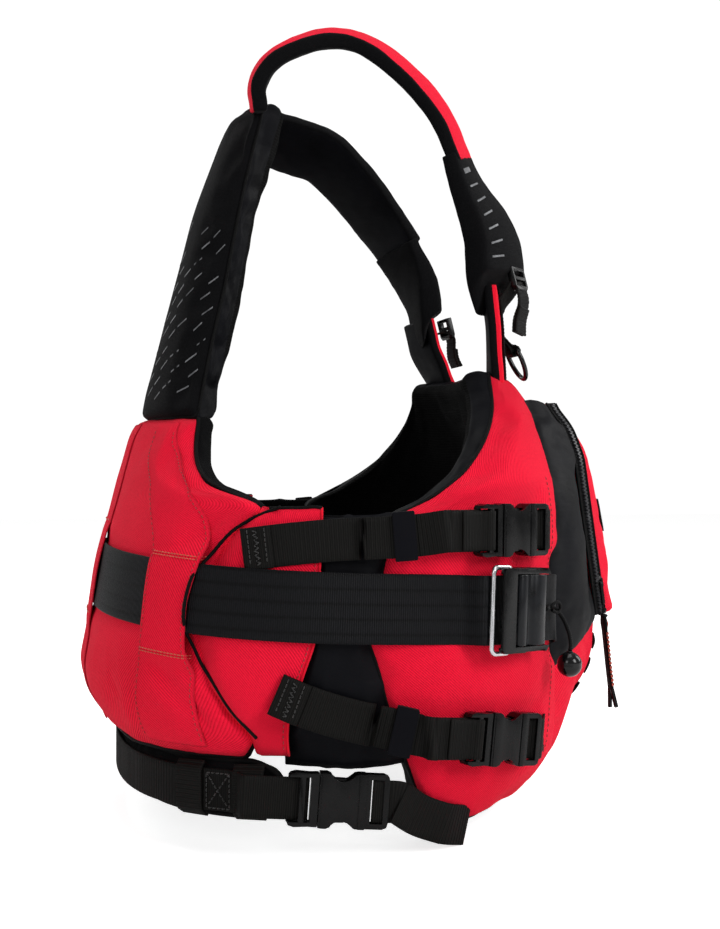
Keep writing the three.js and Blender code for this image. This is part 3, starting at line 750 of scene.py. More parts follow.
def turned(name, profile, material, matrix, steps=40):
    """A solid of revolution about a fitting's y axis, from (distance along y, radius) in millimetres."""
    points, faces = [], []
    for y, radius in profile:
        for k in range(steps):
            turn = 2 * math.pi * k / steps
            points.append(local(matrix, radius * math.cos(turn), y, radius * math.sin(turn)))
    rows = len(profile)
    for i in range(rows - 1):
        for k in range(steps):
            n = (k + 1) % steps
            faces.append((i * steps + k, i * steps + n, (i + 1) * steps + n, (i + 1) * steps + k))
    faces += [tuple(reversed(range(steps))), tuple(range((rows - 1) * steps, rows * steps))]
    return face_outwards(new_object(name, points, faces, [material]), points, faces)


def add_toggle():
    """The lever's cord with its small loop, and the ball at its end."""
    path = resample([local(CAM, *p) for p in CORD_POINTS], 44)
    cord = keep(tube("toggle_cord_braid", path, 0.0016, CORD, 10), ["toggle_cord"], "lever")
    place = CAM @ Matrix.Translation(Vector(BALL) / 1000)
    profile = [(-9.45, 0.6)]
    for k in range(1, 24):
        turn = math.pi * k / 24
        groove = 0.35 * math.exp(-((k - 12) / 0.9) ** 2)
        profile.append((-9.5 * math.cos(turn), (9.5 - groove) * math.sin(turn)))
    profile += [(9.3, 2.6), (9.9, 2.2)]
    ball = turned("toggle_ball_moulded", profile, GLOSS, place)
    keep(ball, ["toggle_ball"], "lever")
    eye = [
        (30, 1.1, 0.8), (33.5, 3.6, 1.6), (37.5, 4.4, 1.8), (40.5, 2.4, 1.8), (41, -0.8, 1.6),
        (38.5, -3.2, 1.4), (34.5, -3.0, 1.2), (31.5, -1.4, 1.0)]
    ring = resample([local(CAM, *p) for p in eye], 30)
    loop = keep(tube("toggle_cord_loop", ring, 0.0013, CORD, 8), body="lever")
    length = spans(path)[-1]


add_toggle()


# ---- foam pads: back, yoke, front and waist ----
def rounding(distance, corner):
    """How far a face drops towards an edge this far away."""
    short = 1 - min(max(distance / corner, 0), 1)
    return corner * (1 - math.sqrt(max(1 - short * short, 0)))


def hem_tuck(z, degrees):
    """How far the front hem is drawn in at its foot."""
    return 0.014 * smooth(-0.550, -0.603, z) * smooth(108, 138, degrees)


def body_pad(
        name, middle, edge, thickness, rows, columns, materials, corner=0.008, wall_rows=6, bulge=0.002):
    """A pad across the body from one side edge to the mirrored one, about the spine or the breastbone."""
    low, high = min(edge)[0], max(edge)[0]

    def place(r, c, inside):
        z = lerp(low, high, r)
        away = abs(middle - read_soft(edge, z, 0.003)[0])
        share = lerp(2 * c - 1, math.sin(math.pi / 2 * (2 * c - 1)), 0.6)
        side = -1 if share < 0 else 1
        degrees = abs(middle - away * abs(share))
        to_edge = (1 - abs(share)) * math.radians(away) * 0.17
        drop = max(rounding(to_edge, corner), rounding(min(z - low, high - z), corner))
        off = (drop - thickness if inside else -drop) - hem_tuck(z, degrees)
        return on_body(degrees, z, off, side, soft=True)

    return pad(name, *shell(place, rows, columns), materials, wall_rows, bulge)


BELT_SEGMENTS = [((-1, 1), 0, 110, -0.422, -0.441), ((1,), 110, 140, -0.441, -0.441)]
PRESSES += [(sides, first, last, z0, z1, 0.026, 0.0026) for sides, first, last, z0, z1 in BELT_SEGMENTS]
PRESSES.append(((-1,), 108, 143, -0.4405, -0.445, 0.034, 0.0016))
for sides, route, half, room in (
    ((-1, 1), [(64, -0.396), (74, -0.392), (84, -0.389), (94, -0.3865), (119, -0.384)], 0.0155, 0.0028),
    ((-1, 1), [(73.5, -0.496), (80, -0.506), (87, -0.516), (94, -0.525), (116.5, -0.537)], 0.0155, 0.0028),
    ((-1, 1), [(107, -0.3845), (132, -0.3835)], 0.020, 0.0012),
    ((-1, 1), [(105, -0.5335), (130, -0.5405)], 0.020, 0.0012),
    ((-1, 1), [(91, -0.3867), (97, -0.3863)], 0.0176, 0.0022),
    ((-1, 1), [(91, -0.5235), (97, -0.5265)], 0.0176, 0.0022),
):
    for (first, z0), (last, z1) in zip(route, route[1:]):
        PRESSES.append((sides, first, last, z0, z1, half, room))

back_pad = body_pad("back_panel", 0, BACK_EDGE, BACK_FOAM, 50, 84, [RED, BLACK, LINER])
yoke_pad = body_pad("yoke_panel", 0, YOKE_EDGE, BACK_FOAM, 48, 34, [BLACK, SATIN, LINER], 0.006, 8, 0.003)
front_pad = body_pad("front_panel", 180, FRONT_EDGE, FRONT_FOAM, 62, 88, [RED, SATIN, LINER], 0.008, 8, 0.003)
PADS = {back_pad: "back_pad", yoke_pad: "yoke_pad", front_pad: "front_pad"}
puff(back_pad, pressure=1.6, cap=0.0045)
puff(yoke_pad, pressure=1.2, cap=0.004)
puff(front_pad, pressure=1.8, cap=0.005)


def waist_hollow(degrees):
    """How far the waist belt lies inside the body's outline behind."""
    return 0.008 * (1 - smooth(5, 62, degrees))


WAIST_OFF = [(-0.589, -0.008), (-0.582, -0.004), (-0.555, -0.002), (-0.549, -0.004)]
WAIST_FOAM = 0.010


def waist_place(r, c, inside):
    """The waist pad is a long strip whose front ends are rounded."""
    z = lerp(-0.589, -0.549, r)
    height = 2 * r - 1
    reach = 74 - 7 * (1 - math.sqrt(max(1 - height * height, 0)))
    share = 2 * c - 1
    off = read_soft(WAIST_OFF, z, 0.004)[0]
    drop = rounding(min(r, 1 - r) * 0.040, 0.005)
    off = off - WAIST_FOAM + drop if inside else off - drop
    degrees = reach * abs(share)
    return on_body(degrees, z, off - waist_hollow(degrees), -1 if share < 0 else 1, soft=True)


waist_pad = pad("waist_panel", *shell(waist_place, 12, 96), [BLACK, BLACK, LINER], 4, 0.001)
PADS[waist_pad] = "waist_pad"
puff(waist_pad, pressure=1.2, cap=0.003)

# ---- the pockets on the chest ----
# Down the zips: height and depth, how far the front stands out, and half width and height.
ZIP_DEPTH = [(-0.462, -0.226), (-0.396, -0.217), (-0.330, -0.208), (-0.305, -0.200), (-0.284, -0.187)]
FACE_BULGE = [(-0.462, 0.030), (-0.396, 0.029), (-0.330, 0.024), (-0.305, 0.018), (-0.284, 0.006)]
ZIP_PATH = [(0.062, -0.462), (0.059, -0.330), (0.054, -0.305), (0.049, -0.2945), (0.044, -0.284)]
ZIP_FOOT = -0.462
ZIP_TOP = -0.284


def chest(x, z):
    """The depth of the front pad's face at a distance from the middle."""
    a, b = read_soft(FRONT, z)
    return -b * max(1 - (abs(x) / a) ** SQUARENESS, 0) ** (1 / SQUARENESS)


ZIP_TURN = math.radians(40)
TAPE_REACH = 0.0072
SEAM = [
    (-0.603, 146), (-0.575, 143), (-0.540, 141), (-0.396, 141), (-0.330, 142), (-0.305, 146), (-0.284, 151)]
VISIBLE_LOWER = [
    (-0.603, 0.046, -0.163), (-0.584, 0.052, -0.176), (-0.556, 0.057, -0.192), (-0.518, 0.060, -0.213),
    (-0.490, 0.062, -0.224), (-0.464, 0.062, -0.226)]


def zip_centre(z):
    """The half width and depth of the line of the zips, which goes on down as the lower pocket's corner."""
    if z > -0.463:
        x = read_soft([(z, x) for x, z in ZIP_PATH], z, 0.004)[0]
        return x, read_soft(ZIP_DEPTH, z, 0.006)[0] + 0.001
    x, y = read_soft(VISIBLE_LOWER, z, 0.008)
    return x, y + 0.001


def zip_rear(z, side):
    """The rear edge of a zip's tape."""
    x, y = zip_centre(z)
    return Vector((side * (x + math.sin(ZIP_TURN) * TAPE_REACH), y + math.cos(ZIP_TURN) * TAPE_REACH, z))


def pocket_place(z, share, bulge, lift=0.0):
    """A point of a pocket's front: share is 1 at a seam, 0.5 behind a zip and 0 in the middle."""
    side = -1 if share < 0 else 1
    seam = max(2 * abs(share) - 1, 0)
    rear = zip_rear(z, side)
    if seam == 0:
        flat = 2 * abs(share)
        return Vector((rear.x * flat, rear.y + 0.001 * (1 - flat), z))
    start = on_body(read_soft(SEAM, z, 0.01)[0], z, 0.0008 - hem_tuck(z, 150), side, soft=True)
    chord = start - rear
    out = Vector((side * abs(chord.y), -abs(chord.x), 0)).normalized()
    return rear + chord * seam + out * (bulge * math.sin(math.pi * seam) + lift)


def pocket(name, low, high, bulge, lift, rows, columns, materials, slant=0.0):
    """A pocket's cloth from seam to seam: its lower edge slants down towards the seams."""
    def place(r, c, inside):
        share = 2 * c - 1
        z = lerp(low - slant * max(2 * abs(share) - 1, 0), high, r)
        point = pocket_place(z, share, bulge, lift)
        if inside:
            point.y = max(chest(point.x, z) - 0.003, point.y + 0.003)
        return point

    return pad(name, *shell(place, rows, columns), materials, 2, 0)


gusset = pocket("pocket_sides", -0.466, -0.284, 0.0055, 0.0016, 44, 64, [SATIN, SATIN, LINER], 0.030)
lower = pocket("lower_pocket_cloth", -0.598, -0.464, 0.0045, 0, 34, 64, [RED, RED, LINER])
PADS[gusset] = "pocket_gusset"
PADS[lower] = "lower_pocket"
puff(gusset, pressure=1.0, cap=0.0022)
puff(lower, pressure=1.6, cap=0.004)


def face_place(r, c, inside):
    """The pocket's front stands out between the zips, and is flat behind."""
    z, share = lerp(ZIP_FOOT, ZIP_TOP, r), 2 * c - 1
    x, y = zip_centre(z)
    bulge = 0 if inside else read_soft(FACE_BULGE, z, 0.008)[0]
    crown = (1 - abs(share) ** 3.2) ** 0.7
    return Vector((share * (x - 0.003), y + 0.003 - bulge * lerp(0.36, 1, crown), z))


pocket_front = pad("pocket_front", *shell(face_place, 40, 28), [RED, RED, LINER], 2, 0)
PADS[pocket_front] = "pocket_face"
puff(pocket_front, pressure=1.4, cap=0.003)


# ---- padded shoulder straps ----
def padded_band(
        name, stations, width, thickness, materials, steps, side, crown=0.0015, taper=None, lap=0.0, wraps=0):
    """A padded strap along stations of (point, across), with materials for its top, side walls and underside.

    The top's cloth may wrap onto the walls by so many faces, and the top's end may lap back at the foot.
    """
    line = resample([Vector(p) for p, _ in stations], steps)
    tips = resample([Vector(p) + Vector(a).normalized() * 0.02 for p, a in stations], steps)
    profile = []
    for k in range(10):
        w = 2 * k / 9 - 1
        profile.append((w * 0.96, 0.5 - 0.04 * abs(w) ** 6, crown * (1 - w * w), 0))
    for h in (0.36, 0.12, -0.12, -0.36):
        profile.append((1.0 + 0.03 * (1 - abs(h) * 2), h, 0, 1))
    for k in range(10):
        w = 1 - 2 * k / 9
        profile.append((w * 0.96, -0.5 + 0.04 * abs(w) ** 6, -crown * 0.7 * (1 - w * w), 2))
    for h in (-0.36, -0.12, 0.12, 0.36):
        profile.append((-1.0 - 0.03 * (1 - abs(h) * 2), h, 0, 1))
    n = len(profile)
    points, uvs, faces, kinds = [], [], [], []
    lengths = spans(line)
    girth = spans([Vector((w * width / 2, h * thickness, 0)) for w, h, _, _ in profile])
    for k, centre in enumerate(line):
        share = k / (len(line) - 1)
        wide, thick = taper(share) if taper else (1, 1)
        along = (line[min(k + 1, steps)] - line[max(k - 1, 0)]).normalized()
        across = tips[k] - centre
        across = (across - along * across.dot(along)).normalized()
        out = along.cross(across) * side
        lift = (thick - 1) * thickness * 0.35
        for j, (w, h, rise, _) in enumerate(profile):
            slide = along * lap * -h * 2 * smooth(0.75, 1, share)
            puffed = rise * min(share, 1 - share, 0.1) * 10
            height = h * thick * thickness + puffed + lift
            points.append(centre + across * w * wide * width / 2 + out * height + slide)
            uvs.append((girth[j], lengths[k]))
    for k in range(len(line) - 1):
        for j in range(n):
            a, b = k * n + j, k * n + (j + 1) % n
            faces.append((a, b, b + n, a + n))
            top = j < 9 + wraps or j >= n - wraps
            kinds.append(0 if top else 1 if j < 14 else 2 if j < 23 else 1)
    faces += [tuple(reversed(range(n))), tuple(range(len(points) - n, len(points)))]
    kinds += [1, 1]
    return face_outwards(new_object(name, points, faces, materials, kinds, uvs), points, faces)


# The shoulders' stations: distance from the middle, y, z in mm, and the roll of the face outwards in degrees.
SHOULDERS = {
    "right": {
        "strap": [
            (64, 64, -46.5, -6), (66, 65, -37, -3), (70, 57, -19, 6), (74, 36, -4.5, 15),
            (76, 7, 4, 20), (78, -21, 0, 27), (79, -48, -17, 29), (79, -70, -37, 30),
            (79, -87, -61, 28), (79, -95, -79, 28)],
        "pad": [
            (79, -98, -84.5, 30), (80, -107, -110, 34), (80, -120, -141, 40), (80, -126, -160, 44),
            (80, -128, -180, 45), (80, -130, -203, 44)],
        "web": [
            (78, -126, -206.5, 15), (78, -128, -225, 15), (77, -129, -245, 14),
            (76, -130, -261.6, 12)],
        "tail": [
            (80, -148, -186, 42), (80, -153, -205, 42), (79, -148, -229, 38)],
    },
    "left": {
        "strap": [
            (62, 60, -46.5, 5), (68, 56, -38, 15), (72, 45, -36, 28), (75, 30, -42, 38),
            (75, 7, -49, 40), (75, -14, -56, 39), (75, -35, -75, 36), (75, -59, -102, 32),
            (76, -80, -130, 26)],
        "pad": [
            (76, -84, -136, 22), (76, -96, -157, 12), (76, -107, -185, -2), (75, -113, -216, -10)],
        "web": [
            (75, -108, -219, 14), (75, -111, -231, 14), (75, -118, -245, 12), (75, -125.5, -260, 7)],
        "tail": [
            (72, -131, -212, 5), (72, -135, -228, 5), (72, -139, -246, 5)],
    },
}


def shoulder_stations(name, side, piece):
    """The stations of a piece of a shoulder: (point, direction across)."""
    rows = SHOULDERS[name][piece]
    places = [Vector((side * x, y, z)) / 1000 for x, y, z, _ in rows]
    stations = []
    for k, row in enumerate(rows):
        along = (places[min(k + 1, len(rows) - 1)] - places[max(k - 1, 0)]).normalized()
        level = Vector((side, 0, 0))
        level = (level - along * level.dot(along)).normalized()
        level.rotate(Quaternion(along, -side * math.radians(row[3])))
        stations.append((places[k], level))
    return stations


def reach_out(stations, start, end):
    """The stations with one more at each end, so far beyond it in metres."""
    head = (stations[0][0] - stations[1][0]).normalized() * start
    foot = (stations[-1][0] - stations[-2][0]).normalized() * end
    return [(stations[0][0] + head, stations[0][1]), *stations, (stations[-1][0] + foot, stations[-1][1])]


def crumple(obj, amount, scale, stretch=(1, 1, 1), seed=0.0, where=None):
    """Slack creases: ridged noise along the normals, drawn out in a direction."""
    normals = [v.normal.copy() for v in obj.data.vertices]
    for vertex, normal in zip(obj.data.vertices, normals):
        at = Vector([c * s * scale for c, s in zip(vertex.co, stretch)]) + Vector((seed, seed, seed))
        ridge = 1 - 2 * abs(noise.noise(at))
        soft = noise.noise(at * 0.45)
        weight = where(vertex.co) if where else 1
        vertex.co += normal * amount * weight * (0.6 * ridge**3 + 0.8 * soft)


def cushion_taper(share):
    """The width and thickness of a strap's cushion: slim behind, fattest low in front, pinched at its end."""
    wide = lerp(0.92, 1.08, smooth(0, 0.6, share)) * lerp(1, 0.74, smooth(0.84, 1, share))
    thick = lerp(0.72, 1.22, smooth(0.05, 0.6, share)) * lerp(1, 0.5, smooth(0.82, 1, share))
    return wide, thick


def finish_padded(obj, node_name):
    """Finishes a soft piece that is filled with foam."""
    keep(finish_soft(obj), [node_name])


def add_shoulders():
    """On each side: the padded strap, its cushion in front, and the web from there to the front pad."""
    for name, side in SIDES:
        stations = reach_out(shoulder_stations(name, side, "strap"), 0.009, 0.014)
        strap = padded_band(f"strap_{name}", stations, 0.056, 0.0115, [RED, BLACK, SATIN], 64, side, 0.0022)
        crumple(strap, 0.0010, 70, (1, 1, 0.6), 3)
        finish_padded(strap, f"shoulder_strap_{name}")
        stations = shoulder_stations(name, side, "pad")
        cushion = padded_band(
            f"strap_cushion_{name}", stations, 0.064, 0.018, [BLACK, BLACK, BLACK], 44, side, 0.003,
            cushion_taper, 0.013)
        crumple(cushion, 0.0010, 60, (1, 1, 1), 9)
        finish_padded(cushion, f"strap_pad_{name}")
        stations = reach_out(shoulder_stations(name, side, "web"), 0.016, 0.009)
        web = padded_band(
            f"front_strap_{name}", stations, 0.044, 0.0105, [RED_EDGE, BLACK, SATIN], 32, side, 0.0006,
            wraps=2)
        crumple(web, 0.0006, 60, (1, 1, 0.5), 5)
        finish_padded(web, f"front_web_{name}")
        add_bars(name, side)
        add_front_webbing(name, side)


def strap_frame(name, side, piece, share, count=60):
    """A place on a shoulder piece: the point, and the directions along, across and out."""
    stations = shoulder_stations(name, side, piece)
    line = resample([p for p, _ in stations], count)
    tips = resample([p + a * 0.02 for p, a in stations], count)
    k = min(int(share * count), count - 1)
    along = (line[k + 1] - line[k]).normalized()
    centre = line[k].lerp(line[k + 1], share * count - k)
    across = tips[k] - line[k]
    across = (across - along * across.dot(along)).normalized()
    return centre, along, across, along.cross(across) * side


def patch(corners, out, lift=0.0004):
    """A thin raised print or tape: a closed sheet between its corners."""
    top = [p + out * lift for p in corners]
    base = [p - out * 0.0012 for p in corners]
    points = top + base
    n = len(corners)
    faces = [tuple(range(n)), tuple(reversed(range(n, 2 * n)))]
    faces += [((k + 1) % n, k, k + n, (k + 1) % n + n) for k in range(n)]
    return points, faces


def patches(name, items, material):
    """Flat-faced pieces as one object on the jacket."""
    points, faces = gathered(items)
    obj = new_object(name, points, faces, [material])
    obj.data.polygons.foreach_set("use_smooth", [False] * len(faces))
    return keep(obj)


def surface_of(*objects):
    """The finished faces of some pieces, to lay thread, tape and piping on."""
    graph = bpy.context.evaluated_depsgraph_get()
    points, faces = [], []
    for obj in objects:
        mesh = obj.evaluated_get(graph).data
        base = len(points)
        points += [v.co.copy() for v in mesh.vertices]
        faces += [tuple(v + base for v in f.vertices) for f in mesh.polygons]
    return BVHTree.FromPolygons(points, faces)


def settle(skin, point, out, lift=0.0, reach=0.02):
    """The point of a skin under a point, lifted off it."""
    hit = skin.ray_cast(point + out * reach, -out, reach * 2)[0]
    return (hit if hit else point) + out * lift


def add_bars(name, side):
    """Reflective bars printed across the strap's cushion, the first one thicker."""
    skin = surface_of(bpy.data.objects[f"strap_cushion_{name}"])
    items = []
    cells = 10
    for k in range(7):
        thick = 0.0016 if k else 0.0042
        first, last = (0.34, 0.92) if k else (0.45, 0.90)
        centre, along, across, out = strap_frame(name, side, "pad", 0.13 + 0.098 * k)
        rows = []
        for i in range(cells + 1):
            w = lerp(first, last, i / cells) * 0.029
            for end in (-1, 1):
                at = centre + across * w + along * (end * thick / 2 + 0.0018 * (i / cells))
                rows.append(settle(skin, at, out))
        for i in range(cells):
            corners = [rows[2 * i], rows[2 * i + 2], rows[2 * i + 3], rows[2 * i + 1]]
            items.append(patch(corners, out, 0.00035))
    patches(f"strap_bars_{name}", items, REFLECTIVE)


LADDER_WEB = 0.020


def ladder_webbing(name, stations, nodes=(), step=0.0008, rib=0.0004):
    return webbing(name, stations, nodes, LADDER_WEB, WEB, step, 6, rib, 0.0028)


def add_front_webbing(name, side):
    """The ladder webbing on the front of a shoulder: it runs down over the strap, and its end is folded."""
    web = reach_out(shoulder_stations(name, side, "web"), 0.012, 0.006)
    stations = []
    for k, (point, across) in enumerate(web):
        out = (web[min(k + 1, 5)][0] - web[max(k - 1, 0)][0]).cross(across).normalized() * side
        stations.append((point + out * 0.0074, across))
    ladder_webbing(f"ladder_web_{name}", stations, (), 0.0009, 0.00035)
    tail = shoulder_stations(name, side, "tail")
    top, bend, end = [p for p, _ in tail]
    across = tail[1][1]
    out = (end - top).cross(across).normalized() * side
    curl = [
        top, top.lerp(bend, 0.6) + out * 0.0016, bend, bend.lerp(end, 0.5) - out * 0.0012,
        end + out * 0.0006]
    ladder_webbing(f"tail_web_{name}", [(p, across) for p in curl], [f"strap_tail_{name}"])
    start = bend.lerp(end, 0.1)
    fold = [start + out * 0.0015, start.lerp(end, 0.5) + out * 0.0010, end + out * 0.0030]
    ladder_webbing(f"tail_fold_{name}", [(p, across) for p in fold])
    foot = web[1][0]
    link = [top - out * 0.0005, top.lerp(foot + out * 0.009, 0.5), foot + out * 0.0080]
    ladder_webbing(f"adjuster_web_{name}", [(p, across) for p in link], (), 0.0009, 0.00035)
    keep(ladder_lock(f"adjuster_{name}", top, bend - top, across))


def ladder_lock(name, at, along, across):
    """The small plastic adjuster that the tail comes out of."""
    along = along.normalized()
    across = across.normalized()
    out = along.cross(across)
    matrix = Matrix((along, across, out)).transposed().to_4x4()
    matrix.translation = at - out * 0.001
    parts = [prism([(-11, -12.5), (5, -12.5), (8, -9), (8, 9), (5, 12.5), (-11, 12.5)], -2.2, 3.2)]
    cutters = [box_mesh(-8, -3.4, -9.6, 9.6, -8, 8), box_mesh(-0.4, 4.2, -9.6, 9.6, -8, 8)]
    return solid(name, parts, cutters, matrix, PLASTIC, 0.6)


# ---- hard pieces: solids in a fitting's millimetres, cut and bevelled ----
def prism(outline, z0, z1):
    """A closed prism of a flat outline: points and faces."""
    n = len(outline)
    points = [(x, y, z0) for x, y in outline] + [(x, y, z1) for x, y in outline]
    faces = [tuple(reversed(range(n))), tuple(range(n, 2 * n))]
    faces += [(k, (k + 1) % n, (k + 1) % n + n, k + n) for k in range(n)]
    return points, faces


def box_mesh(x0, x1, y0, y1, z0, z1):
    """The points and faces of a box."""
    return prism([(x0, y0), (x1, y0), (x1, y1), (x0, y1)], z0, z1)


def side_prism(outline, y0, y1):
    """A prism of an outline in x and z, from one y to another."""
    points, faces = prism([(x, z) for x, z in outline], y0, y1)
    return [(x, y, z) for x, z, y in points], [tuple(reversed(f)) for f in faces]


def arc(x, y, radius, first, last, steps=6):
    """Points round a centre from one angle to another, in degrees."""
    turns = [math.radians(turn) for turn in steps_between(first, last, steps)]
    return [(x + radius * math.cos(turn), y + radius * math.sin(turn)) for turn in turns]


def plate_outline(x0, x1, half, radius, steps=6):
    """A rectangle with round corners."""
    outline = []
    for x, y, turn in (
        (x1 - radius, radius - half, -90), (x1 - radius, half - radius, 0),
        (x0 + radius, half - radius, 90), (x0 + radius, radius - half, 180),
    ):
        outline += arc(x, y, radius, turn, turn + 90, steps)
    return outline


def loose(part):
    """An object of a part's points, given in millimetres, and its faces."""
    points, faces = part
    mesh = bpy.data.meshes.new("loose")
    mesh.from_pydata([tuple(c / 1000 for c in p) for p in points], [], faces)
    return add_object("loose", mesh)


def combine(target, tool, operation):
    """Joins a tool to a target, or cuts it out."""
    modifier = target.modifiers.new("combine", "BOOLEAN")
    modifier.operation = operation
    modifier.solver = "EXACT"
    modifier.object = tool
    graph = bpy.context.evaluated_depsgraph_get()
    mesh = bpy.data.meshes.new_from_object(target.evaluated_get(graph))
    target.modifiers.clear()
    target.data = mesh
    bpy.data.objects.remove(tool)


def solid(name, parts, cutters, matrix, material, bevel=0.5, segments=3):
    """Joins parts, cuts the cutters out, rounds the edges and puts the result at its place."""
    target = loose(parts[0])
    for part in parts[1:]:
        combine(target, loose(part), "UNION")
    for cutter in cutters:
        combine(target, loose(cutter), "DIFFERENCE")
    target.name = name
    target.data.materials.clear()
    target.data.materials.append(material)
    if bevel:
        edge = target.modifiers.new("edges", "BEVEL")
        edge.width = bevel / 1000
        edge.segments = segments
        edge.limit_method = "ANGLE"
        edge.angle_limit = math.radians(35)
        edge.harden_normals = False
    graph = bpy.context.evaluated_depsgraph_get()
    target.data = bpy.data.meshes.new_from_object(target.evaluated_get(graph))
    target.modifiers.clear()
    target.data.transform(matrix)
    target.data.polygons.foreach_set("use_smooth", [True] * len(target.data.polygons))
    target.data.set_sharp_from_angle(angle=math.radians(38))
    return target


# ---- side-release buckles ----
def male_parts():
    """The half with the prongs, x forwards: its ladder of two bars holds the webbing."""
    parts = []
    for sign in (-1, 1):
        rail = [(-35, 15.8), (-34, 18), (-30, 19.2), (-20, 18.6), (-14, 18.9), (-13.6, 15.8)]
        parts.append(prism([(x, sign * y) for x, y in (rail if sign < 0 else reversed(rail))], -4.4, 4.4))
        prong = [(-16, 10.5), (6, 10.7), (7, 12), (5.5, 15.4), (-1, 15.6), (-4, 14.4), (-16, 14.2)]
        parts.append(prism([(x, sign * y) for x, y in (prong if sign > 0 else reversed(prong))], -2.7, 2.7))
    parts.append(side_prism([(-35, -4.5), (-31, -4.2), (-31, -1.5), (-35, -1.5)], -17, 17))
    parts.append(side_prism([(-27, 1.5), (-23, 1.5), (-23, 4.2), (-27, 4.4)], -17, 17))
    parts.append(side_prism([(-18.8, -4.4), (-13.6, -4.4), (-13.6, 4.4), (-18.8, 4.4)], -18.6, 18.6))
    parts.append(box_mesh(-16, 4, -2.4, 2.4, -2.1, 2.1))
    return parts


def female_parts():
    """The half that the prongs click into: waisted sides, a window over each prong, and a bar behind."""
    outline = []
    for sign in (-1, 1):
        edge = [(-13, 19.3), (-7.5, 19.4), (-4.6, 18.2)]
        edge += [(3.0 + 8.0 * math.cos(math.radians(a)), 19.6 - 5.6 * math.sin(math.radians(a)))
                 for a in (150, 125, 100, 80, 55, 30)]
        edge += [(12.4, 18.9), (15, 19.4), (33, 19.4), (36.2, 18), (37, 15)]
        edge = [(x, sign * y) for x, y in edge]
        outline += edge if sign < 0 else list(reversed(edge))
    parts = [prism(outline, -5.8, 5.8)]
    cutters = [
        box_mesh(-14, 14, -16.1, 16.1, -3.4, 3.4),
        box_mesh(-2, 8, -25, 25, -2.8, 2.8),
        box_mesh(24, 33, -15.5, 15.5, -7, 7),
        box_mesh(20, 40, -25, 25, 3.6, 7),
        box_mesh(20, 40, -25, 25, -7, -3.6),
    ]
    cutters.append(side_prism([(-14, 5.2), (-11.6, 5.2), (-11.6, 7), (-14, 7)], -20, 20))
    cutters.append(side_prism([(14, 5.1), (15.2, 5.1), (15.2, 7), (14, 7)], -20, 20))
    return parts, cutters


def place_copy(source, name, matrix):
    """A copy of a piece at its own place."""
    mesh = source.data.copy()
    mesh.transform(matrix)
    return add_object(name, mesh)


SIDE_STRAPS = {
    "upper": {"sewn": (64, -0.396), "route": [(74, -0.392), (84, -0.389)], "keeper": (94, -0.3865),
              "buckle": (119, -0.384), "slope": 1},
    "lower": {"sewn": (73.5, -0.496), "route": [(80, -0.506), (87, -0.516)], "keeper": (94, -0.525),
              "buckle": (116.5, -0.537), "slope": 7},
}
KEEPER_LIFT = 0.0032


def strap_line(level, side, buckle):
    """A side strap's stations from its sewn end to its buckle, and the frame of its keeper."""
    strap = SIDE_STRAPS[level]
    route = [strap["sewn"], *strap["route"]]
    places = [on_body(d, z, STRAP_OFF, side) for d, z in route]
    places.append(on_body(*strap["keeper"], STRAP_OFF + KEEPER_LIFT, side))
    forwards = (local(buckle, -66) - places[2]).normalized()
    loop = frame_at(places[3], forwards, Vector((0, 0, side)).cross(forwards).normalized())
    stations = []
    for i, spot in enumerate(route):
        ahead = places[i + 1] - places[max(i - 1, 0)]
        stations.append((places[i], out_of(*spot, side).cross(ahead) * side))
    stations += [(local(loop, x), up_of(loop, side)) for x in (-12, 12)]
    stations += [(local(buckle, x), up_of(buckle, side)) for x in (-66, -62, -40, -20)]
    return stations, loop


def add_sewn_end(key, stations, out):
    """A strap's sewn end, folded over and tacked down with a zigzag between two straight rows."""
    count = 60
    line = resample([p for p, _ in stations], count)
    tips = resample([p + a.normalized() * 0.02 for p, a in stations], count)
    sides = [t - p for t, p in zip(tips, line)]
    reach = spans(line)
    last = next(k for k in range(count) if reach[k] > 0.021)
    raised = []
    for k in range(last + 1):
        along = (line[k + 1] - line[k]).normalized()
        away = along.cross((sides[k] - along * sides[k].dot(along)).normalized())
        if away.dot(out) < 0:
            away = -away
        drop = 0.0012 * (1 - smooth(0, 0.004, reach[k])) + 0.0008 * smooth(0.018, 0.021, reach[k])
        raised.append(line[k] + away * (WEB + 0.0001 - drop))
    folded = sides[:last + 1]
    fold = band(f"sewn_fold_{key}", raised, folded, SIDE_WEB, WEB, RIBBED, 8, 0.0004, 0.0004, 0.0031)
    keep(fold)

    def on_fold(along, across, lift):
        i = next(n for n in range(count) if reach[n] >= along)
        return line[i] + sides[i].normalized() * across + out * (WEB * 1.5 + lift), out

    zigzag = []
    for k in range(15):
        zigzag.append(on_fold(0.0105 + (0.0022 if k % 2 else -0.0022), lerp(-0.0125, 0.0125, k / 14), 0.0006))
    rows = [zigzag]
    for s in (0.0045, 0.017):
        rows.append([on_fold(s, w, 0.0005) for w in steps_between(-0.0135, 0.0135, 8)])
    keep(stitches(f"sewn_stitches_{key}", rows, THREAD, 0.0028, 0.0007, 0.0005))


